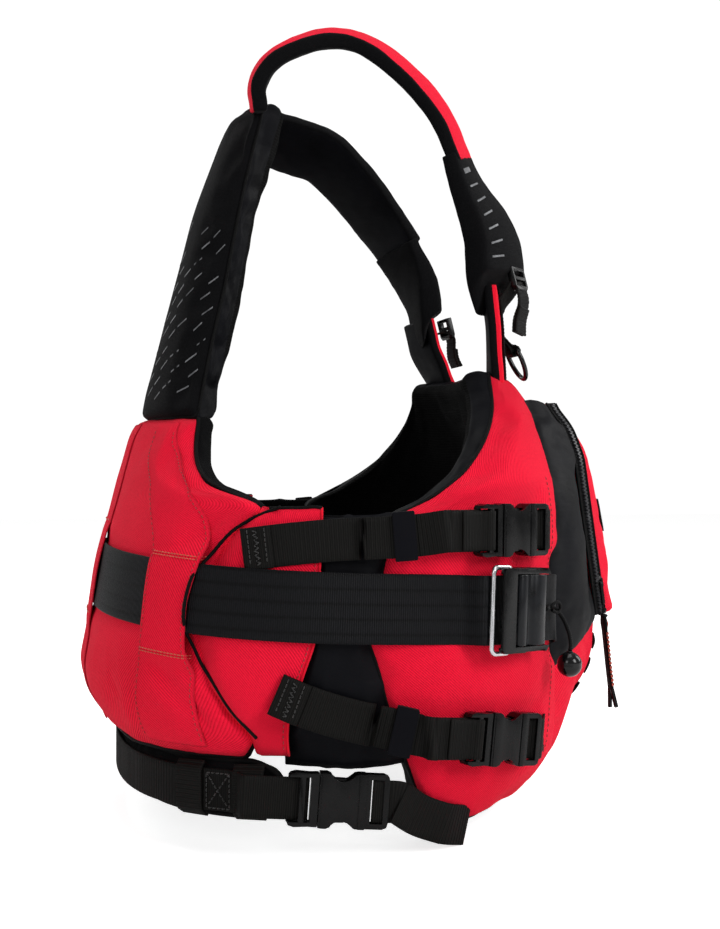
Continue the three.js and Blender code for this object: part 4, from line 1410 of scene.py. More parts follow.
def add_side_strap(level, name, side, male, female, keeper):
    """One side strap: its webbing, keeper and buckle, and the stub in front of them."""
    strap = SIDE_STRAPS[level]
    key = f"{level}_{name}"
    buckle = fitting(*strap["buckle"], 0.008, side, strap["slope"])
    up = up_of(buckle, side)
    stations, loop = strap_line(level, side, buckle)
    webbing(f"side_web_{key}", stations, [f"side_strap_{key}"], rib=0.00042)
    add_sewn_end(key, stations[:3], out_of(*strap["sewn"], side))

    # The webbing's loose end comes back over the first bar, and lies doubled as far as the keeper.
    tail = [
        (-19.9, 0.2), (-21, 2.2), (-24, 5.3), (-27.5, 4.9), (-31, 2.6), (-36, 2.0), (-46, 2.0), (-52, 2.0)]
    tail = [(local(buckle, x, 0, z), up) for x, z in tail]
    webbing(f"tail_web_{key}", tail, (), 0.0285, 0.0016, rib=0.00035)

    keep(place_copy(male, f"male_half_{key}", buckle), [f"male_{key}"], f"male_{key}")
    keep(place_copy(female, f"female_half_{key}", buckle), [f"female_{key}"])
    keep(place_copy(keeper, f"keeper_band_{key}", loop), [f"keeper_{key}"], f"keeper_{key}")

    # A short webbing runs from the female half's bar into the seam of the pocket.
    stub = [(local(buckle, x, 0, z), up) for x, z in ((26, -2.2), (31, -1.6), (35, 1.3), (40, 0.5))]
    seam_z = strap["buckle"][1] - 0.0015 - (0.004 if level == "lower" else 0)
    for degrees, off in ((136.5, 0.0035), (139.5, 0.0015), (142.5, -0.002)):
        stub.append((on_body(degrees, seam_z, off, side), up))
    webbing(f"stub_web_{key}", stub)


def keeper_source():
    """The elastic loop that holds a strap's doubled webbing."""
    parts = [prism(plate_outline(-8, 8, 17.5, 1.2), -3.3, 3.3)]
    return solid("keeper_source", parts, [box_mesh(-9, 9, -15.7, 15.7, -2.2, 2.2)], Matrix(), ELASTIC, 0.9)


def add_buckles():
    """The side straps and the waist belt, with copies of one buckle and one keeper."""
    male = solid("male_source", male_parts(), [], Matrix(), PLASTIC, 0.55)
    female = solid("female_source", *female_parts(), Matrix(), PLASTIC, 0.6)
    keeper = keeper_source()
    for name, side in SIDES:
        for level in SIDE_STRAPS:
            add_side_strap(level, name, side, male, female, keeper)
    add_waist(male, female)
    for source in (male, female, keeper):
        bpy.data.objects.remove(source)


# ---- waist belt ----
def add_waist(male, female):
    """The waist webbing round the back, and a buckle, front webbing and belt loops on each side."""
    buckles = [fitting(84.5, -0.573, 0.006, side, 4) for _, side in SIDES]
    ends = []
    for buckle, (_, side) in zip(buckles, SIDES):
        ends.append([(local(buckle, x), up_of(buckle, side)) for x in (-20, -40, -62, -66)])
    middle = []
    for degrees in steps_between(-62, 62, 12):
        off = 0.0022 - waist_hollow(abs(degrees))
        middle.append((on_body(abs(degrees), -0.569, off, -1 if degrees < 0 else 1), UP))
    webbing("waist_webbing", ends[0] + middle + ends[1][::-1], ["waist_web"])
    for buckle, (name, side) in zip(buckles, SIDES):
        male_half = place_copy(male, f"male_half_waist_{name}", buckle)
        keep(male_half, [f"male_waist_{name}"], f"male_waist_{name}")
        female_half = place_copy(female, f"female_half_waist_{name}", buckle)
        keep(female_half, [f"female_waist_{name}"])
        add_waist_front(name, side, buckle)
        add_waist_loops(name, side)


def add_waist_front(name, side, buckle):
    """The webbing from a waist buckle down into the front hem, with its end doubled."""
    front = [(local(buckle, x, 0, z), up_of(buckle, side)) for x, z in ((25, 1.4), (33, 1.5), (44, 1.4))]
    for degrees, z, off, lean in (
        (98, -0.588, 0.010, -0.25), (105, -0.598, 0.009, -0.25), (113, -0.604, 0.003, -0.15),
    ):
        front.append((on_body(degrees, z, off, side), Vector((0, lean, 1))))
    webbing(f"waist_front_web_{name}", front, [f"waist_front_{name}"])
    lift = out_of(100, -0.59, side) * 0.0019
    webbing(f"waist_fold_{name}", [(point + lift, across) for point, across in front[2:5]])


BELT_LOOP = [
    (-0.5495, -0.0008), (-0.552, 0.0014), (-0.5545, 0.0042), (-0.569, 0.0050), (-0.5835, 0.0040),
    (-0.5865, 0.0005), (-0.589, -0.0035)]


def add_waist_loops(name, side):
    """Two belt loops stand over the waist webbing, with a crossed box of stitching between them."""
    for k, (first, last) in enumerate(((45.7, 53.7), (62, 69.6))):
        middle = (first + last) / 2
        width = (on_body(last, -0.573, 0, side) - on_body(first, -0.573, 0, side)).length
        across = along_body(middle, -0.573, side)
        hollow = waist_hollow(middle)
        stations = [(on_body(middle, z, off - hollow, side, soft=True), across) for z, off in BELT_LOOP]
        webbing(f"belt_loop_{k}_{name}", stations, (), width, 0.0016)
    corners = [(54.8, -0.5565), (61, -0.5565), (61, -0.5815), (54.8, -0.5815)]
    lines = []
    for a, b in ((0, 1), (1, 2), (2, 3), (3, 0), (0, 2), (1, 3)):
        line = []
        for k in range(13):
            degrees, z = [lerp(p, q, k / 12) for p, q in zip(corners[a], corners[b])]
            line.append((on_body(degrees, z, 0.0037 - waist_hollow(degrees), side), out_of(degrees, z, side)))
        lines.append(line)
    keep(stitches(f"box_stitches_{name}", lines, THREAD, 0.0028, 0.0008, 0.00055))


# ---- harness belt and its cam buckle ----
def belt_height(degrees):
    """The harness belt falls a little towards the front."""
    return -0.422 - 0.019 * min(1, degrees / 110)


def on_belt(degrees, side):
    """A station of the harness belt: the point, and the direction across."""
    z = belt_height(degrees)
    up = on_body(degrees, z + 0.02, 0, side) - on_body(degrees, z - 0.02, 0, side)
    return on_body(degrees, z, BELT_OFF, side), up


def add_belt():
    """The harness belt from the left front round the back to the cam, and its anchor beyond the cam."""
    stations = [on_belt(d, 1) for d in (138, 128, 118, 108, 98, 88, 76, 64, 57, 50, 43, 36, 24, 12)]
    stations += [on_belt(d, -1) for d in (0, 12, 24, 36, 43, 50, 57, 64, 76, 88, 98, 106)]
    stations += [(local(CAM, x), UP) for x in (-50, -46, -20, 0, 16)]
    belt = ribbon("harness_webbing", stations, HARNESS_WEB, WEB, BELT, 0.003, 24)
    keep(belt, ["harness_belt"])
    anchor = [(local(CAM, x, 0, z), UP) for x, z in ((18.6, -4), (32, -4.4), (44, -6))]
    anchor += [(on_body(degrees, -0.450, 0.0026), UP) for degrees in (143.5, 146)]
    keep(ribbon("cam_anchor_web", anchor, HARNESS_WEB, WEB, BELT, 0.002, 24), ["cam_anchor"])


# The lever's wavy top, from its hinge to its tip: x and height.
LEVER_TOP = [
    (-20.4, 0.2), (-19, 1.4), (-16.5, 2.1), (-13.5, 2.0), (-11, 1.1), (-9.4, -0.5), (-8, -1.6), (-6, -1.9),
    (-4, -1.3), (-2.4, 0.2), (0, 1.6), (3.5, 2.1), (7.5, 1.9), (11, 1.0), (14, -0.8), (16.6, -3.0)]


def add_cam():
    """The steel frame, the cam buckle's body and its lever."""
    frame_outline = plate_outline(-46.8, -22.8, 32.8, 6, 10)
    hole = plate_outline(-43.2, -26.4, 29.2, 3, 10)
    wire = solid("cam_wire", [prism(frame_outline, 1.5, 5)], [prism(hole, 0, 7)], CAM, STEEL, 1.4, 4)
    keep(wire, ["cam_frame"])
    base = prism(plate_outline(-21.4, 17.8, 30.8, 5, 8), -5.3, 8.9)
    hood = prism(plate_outline(-39.4, -8, 30.8, 4, 8), 5.5, 9.6)
    belt_slot = box_mesh(-30, 50, -26.5, 26.5, -1.6, 1.6)
    lever_room = box_mesh(-24.5, 50, -26.5, 26.5, 1, 14)
    under_hood = box_mesh(-41, -9, -26.5, 26.5, 1, 7.4)
    steps = [box_mesh(-12, 13, y, y + 10.6, 5.8, 12) for y in (-40, 29.4)]
    body = solid("cam_housing", [base, hood], [belt_slot, lever_room, under_hood, *steps], CAM, PLASTIC, 0.9)
    keep(body, ["cam_body"])
    outline = [(16.8, 4.2)] + [(x, 8.4 + lift) for x, lift in reversed(LEVER_TOP)]
    outline += arc(-17, 6.4, 3.9, 160, 260, 5)
    outline += [(-14, 3.6), (-11, 4.2)]
    lever = solid("cam_lever_moulded", [side_prism(outline, -25.9, 25.9)], [], CAM, LEVER, 0.8)
    keep(lever, ["cam_lever"], "lever")


# ---- thin pieces that lie on the pads ----
OVER_BELT = 0.0066
TUNNEL = [
    (-0.538, 36, 56, 0), (-0.505, 38, 55, 0), (-0.484, 38, 55, 0), (-0.474, 38, 53, OVER_BELT),
    (-0.465, 38, 52, OVER_BELT), (-0.435, 38, 51.5, OVER_BELT), (-0.415, 38, 53, OVER_BELT),
    (-0.402, 38, 54, OVER_BELT), (-0.390, 37, 55, 0), (-0.370, 33, 52, 0), (-0.350, 29, 43, 0),
    (-0.320, 25, 38, 0), (-0.304, 25, 37, 0),
]
WING = [
    (-0.543, 69.5, 75), (-0.531, 69.5, 75), (-0.512, 64.5, 76), (-0.490, 59.5, 78), (-0.460, 55, 80.5),
    (-0.435, 54.5, 81), (-0.405, 58.5, 81), (-0.386, 61.5, 81), (-0.373, 66.5, 81), (-0.367, 69.5, 81),
]
UNDER_ARM = [
    (-0.552, 76.5, 94), (-0.531, 76.5, 92.5), (-0.512, 77.5, 91), (-0.490, 79.5, 90), (-0.460, 82, 88),
    (-0.435, 82.5, 89), (-0.411, 82.5, 90), (-0.386, 82.5, 91), (-0.372, 82.5, 92),
]


def add_cover(name, node_name, spans_at, low, high, side, skin, rows, columns):
    """A sewn-on cloth that follows the pad under it and arches over the harness belt."""
    outer, inner = [], []
    for i in range(rows + 1):
        z = lerp(low, high, i / rows)
        first, last, over = spans_at(z)
        outer_row, inner_row = [], []
        for j in range(columns + 1):
            degrees = lerp(first, last, j / columns)
            here = side if degrees >= 0 else -side
            out = out_of(abs(degrees), z, here)
            face = on_body(abs(degrees), z, 0, here, soft=True)
            hit = settle(skin, face, out)
            height = max((hit - face).dot(out) + 0.0004, over)
            rim = 1 - smooth(0, 0.12, min(j, columns - j) / columns)
            inner_row.append(face + out * (height - 0.0004 * rim))
            outer_row.append(face + out * (height + 0.0014 - 0.0004 * rim))
        outer.append(outer_row)
        inner.append(inner_row)
    keep(finish_soft(pad(name, outer, inner, [RED, RED, RED], 2, 0.0002)), [node_name])


def panel(name, edges, side, thickness, rows, columns, off, materials, tuck=(0, 0), bulge=0.002):
    """A loose panel at the side, tucked under its neighbours at its two ends by so many degrees."""
    low, high = min(edges)[0], max(edges)[0]

    def place(r, c, inside):
        z = lerp(low, high, r)
        first, last = read_soft(edges, z, 0.006)
        degrees = lerp(first - tuck[0], last + tuck[1], c)
        edge = min(r, 1 - r)
        rise = bulge * math.sin(math.pi * c) * smooth(0, 0.06, edge) - rounding(edge * 0.17, 0.003)
        hidden = 0.006 * ((1 - smooth(0, 0.25, c)) * (tuck[0] > 0) + smooth(0.75, 1, c) * (tuck[1] > 0))
        return on_body(degrees, z, off + (-thickness if inside else rise) - hidden, side, soft=True)

    return pad(name, *shell(place, rows, columns), materials, 3, 0.0005)


def beside_belt(point):
    """Less beside the harness belt, where the cloth is held flat."""
    return 0.25 + 0.75 * smooth(0.028, 0.05, abs(point.z + 0.434))


def add_side_panels(name, side):
    """The wing from the back pad to the arm hole, and the gusset in front of it under the arm."""
    wing = panel(f"wing_{name}", WING, side, 0.0044, 44, 22, -0.0006, [RED, RED, LINER], (2.5, 0), 0.0022)
    crumple(wing, 0.0016, 26, (1, 1, 0.55), 5, beside_belt)
    press(wing)
    finish_padded(wing, f"side_wing_{name}")
    arm = panel(
        f"under_arm_cloth_{name}", UNDER_ARM, side, 0.0036, 60, 30, -0.0035, [SATIN, SATIN, LINER], (3, 2.5),
        0.0)
    crumple(arm, 0.0030, 42, (1, 1, 0.28), 11, beside_belt)
    press(arm)
    finish_padded(arm, f"under_arm_{name}")


def edge_line(obj, rows, columns, lift):
    """The outer seam of a pad made of so many rows and columns, moved outwards a little."""
    line = []
    middle = sum((v.co for v in obj.data.vertices), Vector()) / len(obj.data.vertices)
    for i, j in border(rows, columns):
        vertex = obj.data.vertices[i * (columns + 1) + j]
        line.append(vertex.co + vertex.normal * lift)
    return line


def smooth_loop(line, times=3):
    """A closed line with its small bends evened out."""
    for _ in range(times):
        line = [(line[k - 1] + line[k] * 2 + line[(k + 1) % len(line)]) / 4 for k in range(len(line))]
    return line


def add_piping():
    """Black binding round the pads' outer seams, and red and black binding on the wings' edges."""
    for obj, rows, columns, radius in (
        (back_pad, 50, 84, 0.0017), (front_pad, 62, 88, 0.0013), (yoke_pad, 48, 34, 0.0013),
        (waist_pad, 12, 96, 0.0024),
    ):
        line = smooth_loop(edge_line(obj, rows, columns, 0.0002))
        keep(tube(f"piping_{obj.name}", line, radius, BINDING, 8, closed=True))
    for name, _ in SIDES:
        points = bpy.data.objects[f"wing_{name}"].data.vertices
        front = [points[i * 23 + 22].co.copy() for i in range(45)]
        keep(tube(f"wing_binding_{name}", front, 0.0010, RED_EDGE, 8))
        top = [points[44 * 23 + j].co.copy() for j in range(4, 23)]
        keep(tube(f"wing_top_binding_{name}", top, 0.0014, BINDING, 8))


def bartack(skin, first, last, z0, z1, side, lift=0.0016):
    """A dense row of stitches from one angle and height to another, laid on a skin."""
    line = []
    for k in range(17):
        degrees, z = lerp(first, last, k / 16), lerp(z0, z1, k / 16)
        out = out_of(degrees, z, side)
        line.append((settle(skin, on_body(degrees, z, 0, side), out, lift), out))
    return line


def body_line(skin, points, side, lift=0.0004, steps=24):
    """A line of (point, outward direction) through angles and heights, laid on a skin."""
    line = []
    for (d0, z0), (d1, z1) in zip(points, points[1:]):
        for k in range(steps):
            degrees, z = lerp(d0, d1, k / steps), lerp(z0, z1, k / steps)
            out = out_of(degrees, z, side)
            line.append((settle(skin, on_body(degrees, z, 0, side), out, lift), out))
    return line


SPINE = [
    (-0.540, 0), (-0.505, 0), (-0.478, 0), (-0.465, OVER_BELT), (-0.458, OVER_BELT), (-0.415, OVER_BELT),
    (-0.384, OVER_BELT), (-0.372, 0), (-0.304, 0)]


def add_covers(skin):
    """The cloth over the spine and the tunnel on each side of it, which the harness belt runs through."""
    def spine_span(z):
        return -7, 7, read_soft(SPINE, z, 0.004)[0]

    def tunnel_span(z):
        return read_soft(TUNNEL, z, 0.005)

    add_cover("spine_cover_cloth", "spine_cover", spine_span, -0.540, -0.303, 1, skin, 60, 14)
    for name, side in SIDES:
        add_cover(f"tunnel_cloth_{name}", f"tunnel_{name}", tunnel_span, -0.538, -0.303, side, skin, 60, 20)


def add_red_stitches(skin):
    """Bright bartacks where the belt goes under the covers, and red seams along the cloths' edges."""
    names = ("spine_cover_cloth", "tunnel_cloth_right", "tunnel_cloth_left")
    covers = surface_of(*[bpy.data.objects[name] for name in names])
    lines = []
    for _, side in SIDES:
        for first, last, z0, z1 in (
            (38.8, 55.2, -0.3985, -0.4020), (38.8, 55.2, -0.4005, -0.4040),
            (39.0, 53.6, -0.4680, -0.4715), (39.0, 53.6, -0.4700, -0.4735),
        ):
            lines.append(bartack(covers, first, last, z0, z1, side, 0.0002))
        for z in (-0.3805, -0.4545):
            lines.append(bartack(covers, 0.4, 6.2, z, z, side, 0.0002))
    keep(stitches("bartacks", lines, BRIGHT_THREAD, 0.0026, 0.0005, 0.00055))
    seams = []
    for name, side in SIDES:
        edges = [(z, read_soft(TUNNEL, z, 0.005)) for z in steps_between(-0.534, -0.308, 14)]
        seams.append(body_line(covers, [(edge[1] - 0.9, z) for z, edge in edges], side, 0.0002))
        seams.append(body_line(covers, [(edge[0] + 0.9, z) for z, edge in edges], side, 0.0002))
        wing = surface_of(bpy.data.objects[f"wing_{name}"])
        front = [(read_soft(WING, z, 0.006)[1] - 0.9, z) for z in steps_between(-0.538, -0.372, 12)]
        seams.append(body_line(wing, front, side, 0.0002))
        chest_seam = [(139.3, -0.560), (139.8, -0.470), (139.6, -0.400), (138.6, -0.340)]
        seams.append(body_line(skin, chest_seam, side, 0.0002))
    keep(stitches("red_seams", seams, RED_THREAD, 0.0030, 0.0012, 0.0004))


BACK_BINDING = [
    (71.7, -0.366), (65.1, -0.373), (59.9, -0.382), (56.0, -0.396), (52.8, -0.411), (51.2, -0.432),
    (51.4, -0.457), (54.5, -0.476), (60.3, -0.495), (63.5, -0.5095), (66.5, -0.521), (69.0, -0.531)]


def add_back_binding():
    """A narrow black binding round the mouth of each tunnel, from the arm hole to the hem."""
    for name, side in SIDES:
        wing, tunnel = bpy.data.objects[f"wing_{name}"], bpy.data.objects[f"tunnel_cloth_{name}"]
        skin = surface_of(back_pad, wing, tunnel)
        line = [point for point, _ in body_line(skin, BACK_BINDING, side, 0.0005, 6)]
        for _ in range(6):
            between = [(before + point + after) / 3 for before, point, after in zip(line, line[1:], line[2:])]
            line = [line[0], *between, line[-1]]
        keep(tube(f"back_binding_{name}", resample(line, 110), 0.0013, BINDING, 8))


def add_dashes(skin):
    """Reflective dashes printed on the yoke, in slanting rows."""
    items = []
    for _, side in SIDES:
        for row in range(13):
            for column in range(4):
                z = -0.140 - 0.0125 * row - 0.0042 * column
                degrees = 7 + 9.2 * column + 3.0 * (row % 2)
                if z < -0.288 or degrees > 39 or random.random() < 0.12:
                    continue
                reach = 1.6 + 0.9 * random.random()
                rise = 0.0022 + 0.0012 * random.random()
                corners = []
                for d, h in ((-reach, -rise), (reach, rise), (reach, rise + 0.0013), (-reach, 0.0013 - rise)):
                    out = out_of(degrees + d, z + h, side)
                    corners.append(settle(skin, on_body(degrees + d, z + h, 0, side), out))
                items.append(patch(corners if side < 0 else corners[::-1], out_of(degrees, z, side), 0.0003))
    patches("yoke_dashes", items, REFLECTIVE)


# ---- the chest pocket's zip ----
def tooth(at, along, across, out, length=0.0040, half=0.00085, height=0.0019):
    """One moulded tooth, chamfered on top."""
    points = []
    for lift, shrink in ((-0.0006, 1.0), (height * 0.6, 1.0), (height, 0.6)):
        for s, t in ((-1, -1), (1, -1), (1, 1), (-1, 1)):
            head = 1.25 if s > 0 else 0.9
            points.append(
                at + across * s * length / 2 * (1 if shrink == 1 else 0.85) + along * t * half * head * shrink
                + out * lift)
    faces = [(3, 2, 1, 0), (8, 9, 10, 11)]
    for ring in (0, 4):
        faces += [(ring + k, ring + (k + 1) % 4, ring + 4 + (k + 1) % 4, ring + 4 + k) for k in range(4)]
    return points, faces


def add_zips():
    """On each side the zip's tape, its teeth and the bindings along its edges."""
    for name, side in SIDES:
        out = Vector((side * math.cos(ZIP_TURN), -math.sin(ZIP_TURN), 0))
        across = Vector((side * math.sin(ZIP_TURN), math.cos(ZIP_TURN), 0))
        line = []
        for z in steps_between(ZIP_FOOT, ZIP_TOP, 30):
            x, y = zip_centre(z)
            line.append(Vector((side * x, y, z)) + out * 0.0024)
        line = resample(line, 120)
        tape = band(f"zip_tape_{name}", line, [across] * len(line), 0.0165, 0.0012, BINDING, 8, 0.0003)
        keep(tape, [f"zip_{name}"])
        teeth = []
        for k in range(1, 120):
            along = (line[k + 1] - line[k - 1]).normalized()
            lead = across * (1 if k % 2 else -1)
            teeth.append(tooth(line[k] - lead * 0.0009 + out * 0.0005, along, lead, out))
        patches(f"zip_teeth_{name}", teeth, TEETH)
        for k, edge in enumerate((-1, 1)):
            rim = [p + across * edge * 0.0080 + out * 0.0006 for p in line]
            keep(tube(f"zip_edge_{name}_{k}", rim, 0.0011, BINDING, 6))


def zip_frame():
    """The slider's frame: y up the zip, z out of the chest."""
    foot, top = [Vector((-x, ZIP_DEPTH[row][1] + 0.001, z)) for (x, z), row in zip(ZIP_PATH, (0, 2))]
    axis = (top - foot).normalized()
    out = (Vector((0, -1, 0)) + axis * axis.y).normalized()
    matrix = Matrix((-out.cross(axis), axis, out)).transposed().to_4x4()
    matrix.translation = foot + axis * 0.026
    return matrix


SLIDER = zip_frame()
PULL_Z = 5.2


def add_slider():
    """The zip's slider with its bridge, and the pull that swings on it."""
    body_outline = [
        (-4.4, -6.8), (4.4, -6.8), (4.4, 1), (3.6, 5), (1.6, 6.9), (-1.6, 6.9), (-3.6, 5), (-4.4, 1)]
    bridge = [(-5.8, 2.6), (-5.2, 6.4), (-3.2, 8.3), (3.2, 8.3), (5.2, 6.4), (5.8, 2.6)]
    bridge_points, bridge_faces = prism(bridge, -1.9, 1.9)
    turned_points = [(z, y, h) for y, h, z in bridge_points]
    slider = solid(
        "slider_moulded", [prism(body_outline, 0.5, 3.1), (turned_points, bridge_faces)],
        [box_mesh(-3, 3, -2.4, 2.4, PULL_Z - 2, PULL_Z + 1.6)], SLIDER, PLASTIC, 0.35, 2)
    keep(slider, ["zip_slider"], "slider")
    ring = [(y, x) for x, y in plate_outline(-18.8, 1.4, 5.3, 2.4)]
    hole = [(y, x) for x, y in plate_outline(-14.2, -1.0, 2.9, 1.2)]
    bar = box_mesh(-4, 4, -0.9, 0.9, PULL_Z - 0.9, PULL_Z + 0.9)
    pull = solid(
        "pull_moulded", [prism(ring[::-1], PULL_Z - 1.1, PULL_Z + 1.1), bar],
        [prism(hole[::-1], PULL_Z - 3, PULL_Z - 0.95), prism(hole[::-1], PULL_Z + 0.95, PULL_Z + 3)],
        SLIDER, PLASTIC, 0.35, 2)
    keep(pull, ["zip_pull"], "pull")


def tab_height(y):
    """The hanging tab's height off the zip, at a place down the slider's frame, in millimetres."""
    return read([(-107, 2.5), (-90, 2.8), (-70, 3.3), (-45, 4.2), (-20.6, 5.2)], y)[0]


def add_pull_cord():
    """The cord looped through the pull, and its knot."""
    pieces = []
    loop = [(-1.6, -17.6, 4.0), (-2.3, -19.8, 4.2), (-2.0, -22.5, 4.6), (-1.2, -25, 4.6)]
    for sign in (-1, 1):
        path = [local(SLIDER, sign * x, y, z) for x, y, z in loop]
        pieces.append(tube("loop", resample(path, 10), 0.0012, CORD, 8))
    bow = [(-1.6, -17.6, 4.0), (-1.0, -16.2, 6.0), (0, -15.8, 6.8), (1.0, -16.2, 6.0), (1.6, -17.6, 4.0)]
    pieces.append(tube("loop", resample([local(SLIDER, *p) for p in bow], 10), 0.0012, CORD, 8))
    for lean in (-1, 1):
        knot = []
        for k in range(16):
            turn = 2 * math.pi * k / 16
            y = -26 + lean * 1.6 + 1.2 * math.sin(turn) * lean
            knot.append(local(SLIDER, 3.0 * math.cos(turn), y, 4.6 + 2.6 * math.sin(turn)))
        pieces.append(tube("knot", knot, 0.0014, CORD, 8, closed=True))
    keep(merge("pull_cord_knot", pieces), body="pull")


def add_pull_tab():
    """The puller's stitched cloth tab and its two rubbery ends."""
    across = local(SLIDER, 1000) - local(SLIDER, 0)
    stations = [(local(SLIDER, 0, y, tab_height(y)), across) for y in range(-28, -93, -4)]
    body = ribbon("pull_tab_cloth", stations, 0.0085, 0.0030, BINDING, 0.001, 8, 0.0009)
    for vertex in body.data.vertices:
        place = SLIDER.inverted() @ vertex.co * 1000
        waist = 1 + 0.35 * math.exp(-((place.y + 35) / 4) ** 2) - 0.25 * smooth(-31, -28, place.y)
        centre = local(SLIDER, 0, place.y, place.z)
        vertex.co = centre + (vertex.co - centre) * waist
    cloth = keep(finish_soft(body), ["pull_tab"], "pull")
    diamond = [local(SLIDER, x, y, tab_height(y) + 1.9) for x, y in (
        (0, -30.5), (-1.9, -32.7), (-3.7, -35), (-1.9, -37.7), (0, -40), (1.9, -37.7), (3.7, -35),
        (1.9, -32.7))]
    diamond = tube("pull_tab_diamond", diamond, 0.0006, BRIGHT_THREAD, 6, closed=True)
    keep(diamond, body="pull")
    lines = []
    for x, turn in ((-2.6, 1), (2.6, 1), (4.3, 0), (-4.3, 0)):
        out = (local(SLIDER, x * (1 - turn) * 250, 0, 1000 * turn) - local(SLIDER, 0)).normalized()
        lines.append([
            (local(SLIDER, x, y, tab_height(y) + 1.6 * turn), out)
            for y in (lerp(-42, -90, k / 20) for k in range(21))])
    sewn = stitches("pull_tab_stitches", lines, BRIGHT_THREAD, 0.0030, 0.0006, 0.0006)
    keep(sewn, body="pull")
    ends = []
    for sign in (-1, 1):
        rows = [(sign * (2.1 + 0.06 * k), y) for k, y in enumerate((-90, -95, -100, -106.5))]
        stations = [(local(SLIDER, x, y, tab_height(y) - sign * 0.12 * (-90 - y)), across) for x, y in rows]
        ends.append(ribbon("end", stations, 0.0046, 0.0032, PLASTIC, 0.001, 4, 0.0009))
    tips = keep(finish_soft(merge("pull_tab_ends", ends)), body="pull")
    # each piece of the tab gets its own copy of its mesh; drawn up the zip, the soft tab
    # lies on the teeth instead of hanging clear of the pocket
    for piece in (cloth, diamond, sewn, tips):
        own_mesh(piece)


# The chest ring's own frame, turned back under its loop.
RING_PLACE = Matrix.Translation((-0.070, -0.147, -0.243)) @ Matrix.Rotation(math.radians(-25), 4, "X")


def add_ring():
    """The ring on the wearer's right, with a straight top, and the webbing loop that it hangs in."""
    corners = [
        (-13, 0), (-7, 0), (0, 0), (7, 0), (13, -0.4), (14.3, -7), (12.2, -15.5), (7, -21.8), (0, -24.4),
        (-7, -21.8), (-12.2, -15.5), (-14.3, -7), (-13, -0.4)]
    path = [local(RING_PLACE, x, 0, z) for x, z in corners]
    line = smooth_loop(resample(path, 96)[:-1], 4)
    keep(tube("ring_moulded", line, 0.0020, GLOSS, 14, closed=True), ["ring"], "chest_ring")
    loop = [
        (6.5, 20), (3.4, 12), (1.0, 6), (-1.5, 4.3), (-3.5, 1.8), (-3.6, -1.2), (-1.6, -3.5), (1.4, -3.4),
        (3.4, -1.2), (3.5, 1.8), (3.8, 6), (5.4, 12), (8.4, 20)]
    stations = [(local(RING_PLACE, 0, y, z), Vector((1, 0, 0))) for y, z in loop]
    webbing("ring_loop_web", stations, ["ring_loop"], 0.0178, 0.0015, 0.0008, 6, 0.0003, 0.0028)


def add_face_knot(skin):
    """A knotted shock cord on the pocket's front, drawn tight between two sewn tabs."""
    def on_face(x, z, lift=0.0):
        return settle(skin, Vector((x, -0.235, z)), Vector((0, -1, 0)), lift, 0.05)

    pieces = []
    for k in range(3):
        row = []
        for j in range(11):
            z = -0.372 - 0.009 * k + 0.0045 * math.sin(math.pi * j / 5)
            row.append(on_face(lerp(-0.022, 0.022, j / 10), z, 0.0016))
        pieces.append(tube("lace", resample(row, 30), 0.0014, CORD, 8))
    centre = on_face(-0.004, -0.398, 0.004)
    for lean in (-1, 1):
        knot = []
        for k in range(18):
            turn = 2 * math.pi * k / 18
            rise = 0.0022 * lean + 0.0034 * math.sin(turn) * lean
            knot.append(centre + Vector((0.0048 * math.cos(turn), -0.003 * math.sin(turn), rise)))
        pieces.append(tube("knot", knot, 0.0016, CORD, 8, closed=True))
    for x in (-0.024, 0.024):
        line = resample([on_face(x, z, 0.0012) for z in (-0.366, -0.373, -0.380, -0.387, -0.394)], 20)
        pieces.append(band("tab", line, [Vector((1, 0, 0))] * 21, 0.007, 0.0016, RIBBED, 4, 0.0004))
    keep(merge("face_lacing", pieces))


def add_lower_pocket_loops(skin):
    """A row of black stitched loops runs down each side of the lower pocket's front."""
    pieces = []
    for _, side in SIDES:
        for k in range(5):
            z = lerp(-0.484, -0.566, k / 4)
            line = []
            for j in range(9):
                p = pocket_place(z + lerp(-0.0065, 0.0065, j / 8), side * 0.47, 0)
                line.append(settle(skin, p, Vector((0, -1, 0)), 0.0004 + 0.0014 * math.sin(math.pi * j / 8)))
            pieces.append(band("loop", line, [Vector((1, 0, 0))] * 9, 0.009, 0.0015, RIBBED, 4, 0.0004))
    keep(merge("lower_pocket_loops", pieces))


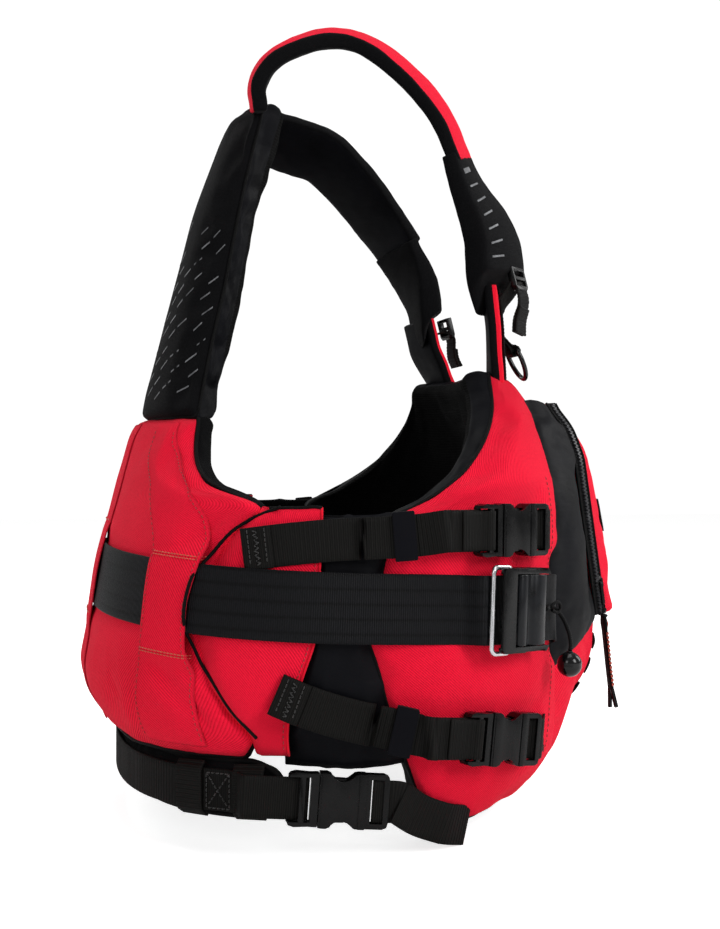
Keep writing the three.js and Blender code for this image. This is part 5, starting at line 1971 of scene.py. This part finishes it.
# ---- making it ----
run_cloths()
for piece in (back_pad, front_pad):
    crumple(piece, 0.0019, 16, (1, 1, 0.7), 1)
    crumple(piece, 0.0009, 42, (1, 1, 0.8), 5)
    press(piece)
crumple(yoke_pad, 0.0010, 24, (1, 1, 0.5), 2)
for piece in (gusset, lower, pocket_front):
    crumple(piece, 0.0010, 30, (1, 1, 0.6), 4)
for piece in (back_pad, yoke_pad, front_pad, waist_pad, gusset, lower, pocket_front):
    keep(finish_soft(piece), [PADS[piece]])
add_shoulders()
for name, side in SIDES:
    add_side_panels(name, side)
pad_skin = surface_of(back_pad, yoke_pad, front_pad)
add_covers(pad_skin)
add_piping()
add_belt()
add_cam()
add_buckles()
add_zips()
add_slider()
add_pull_cord()
add_pull_tab()
add_ring()
add_red_stitches(pad_skin)
add_back_binding()
add_dashes(pad_skin)
add_face_knot(surface_of(pocket_front))
add_lower_pocket_loops(surface_of(lower))


# ---- floor and light ----
def camera_sees(tree, strength, extra):
    """A strength, and so much more where the camera looks straight at it."""
    seen = node(tree, "ShaderNodeLightPath").outputs["Is Camera Ray"]
    return math_node(tree, "MULTIPLY_ADD", seen, extra, strength)


# Soft boxes: place, width and height, and power in watts.
LIGHTS = [
    ((-2.0, -1.5, 0.9), (0.9, 1.4), 40), ((-1.8, 1.6, 0.5), (0.8, 1.4), 11),
    ((0.4, -2.4, 0.7), (1.0, 1.5), 18), ((1.8, 1.4, 1.0), (1.2, 1.5), 13), ((0, 0, 2.2), (1.8, 1.8), 24),
]
MIDDLE = Vector((0, 0, -0.33))


def add_stage():
    """A pale floor that meets a pale surround, and soft boxes."""
    white, tree, shader = surface("floor_white", Base_Color=(0.9, 0.9, 0.9, 1), Roughness=0.95)
    shader.inputs["Emission Color"].default_value = (1, 1, 1, 1)
    tree.links.new(camera_sees(tree, 0.0, 0.70), shader.inputs["Emission Strength"])
    floor = new_object("floor", [(-6, -6, 0), (6, -6, 0), (6, 6, 0), (-6, 6, 0)], [(0, 1, 2, 3)], [white])
    floor.location.z = CAD_BOX[0][2] - 0.0005
    world = bpy.data.worlds.new("studio")
    bpy.context.scene.world = world
    world.use_nodes = True
    background = world.node_tree.nodes["Background"]
    world.node_tree.links.new(camera_sees(world.node_tree, 0.30, 0.74), background.inputs["Strength"])
    background.inputs["Color"].default_value = (1, 1, 1, 1)
    for k, (place, size, power) in enumerate(LIGHTS):
        data = bpy.data.lights.new(f"softbox_{k}", "AREA")
        data.shape = "RECTANGLE"
        data.size, data.size_y = size
        data.energy = power
        lamp = add_object(f"softbox_{k}", data)
        lamp.location = place
        lamp.rotation_euler = (MIDDLE - Vector(place)).to_track_quat("-Z", "Y").to_euler()
    bpy.context.scene.view_settings.view_transform = "Standard"


add_stage()
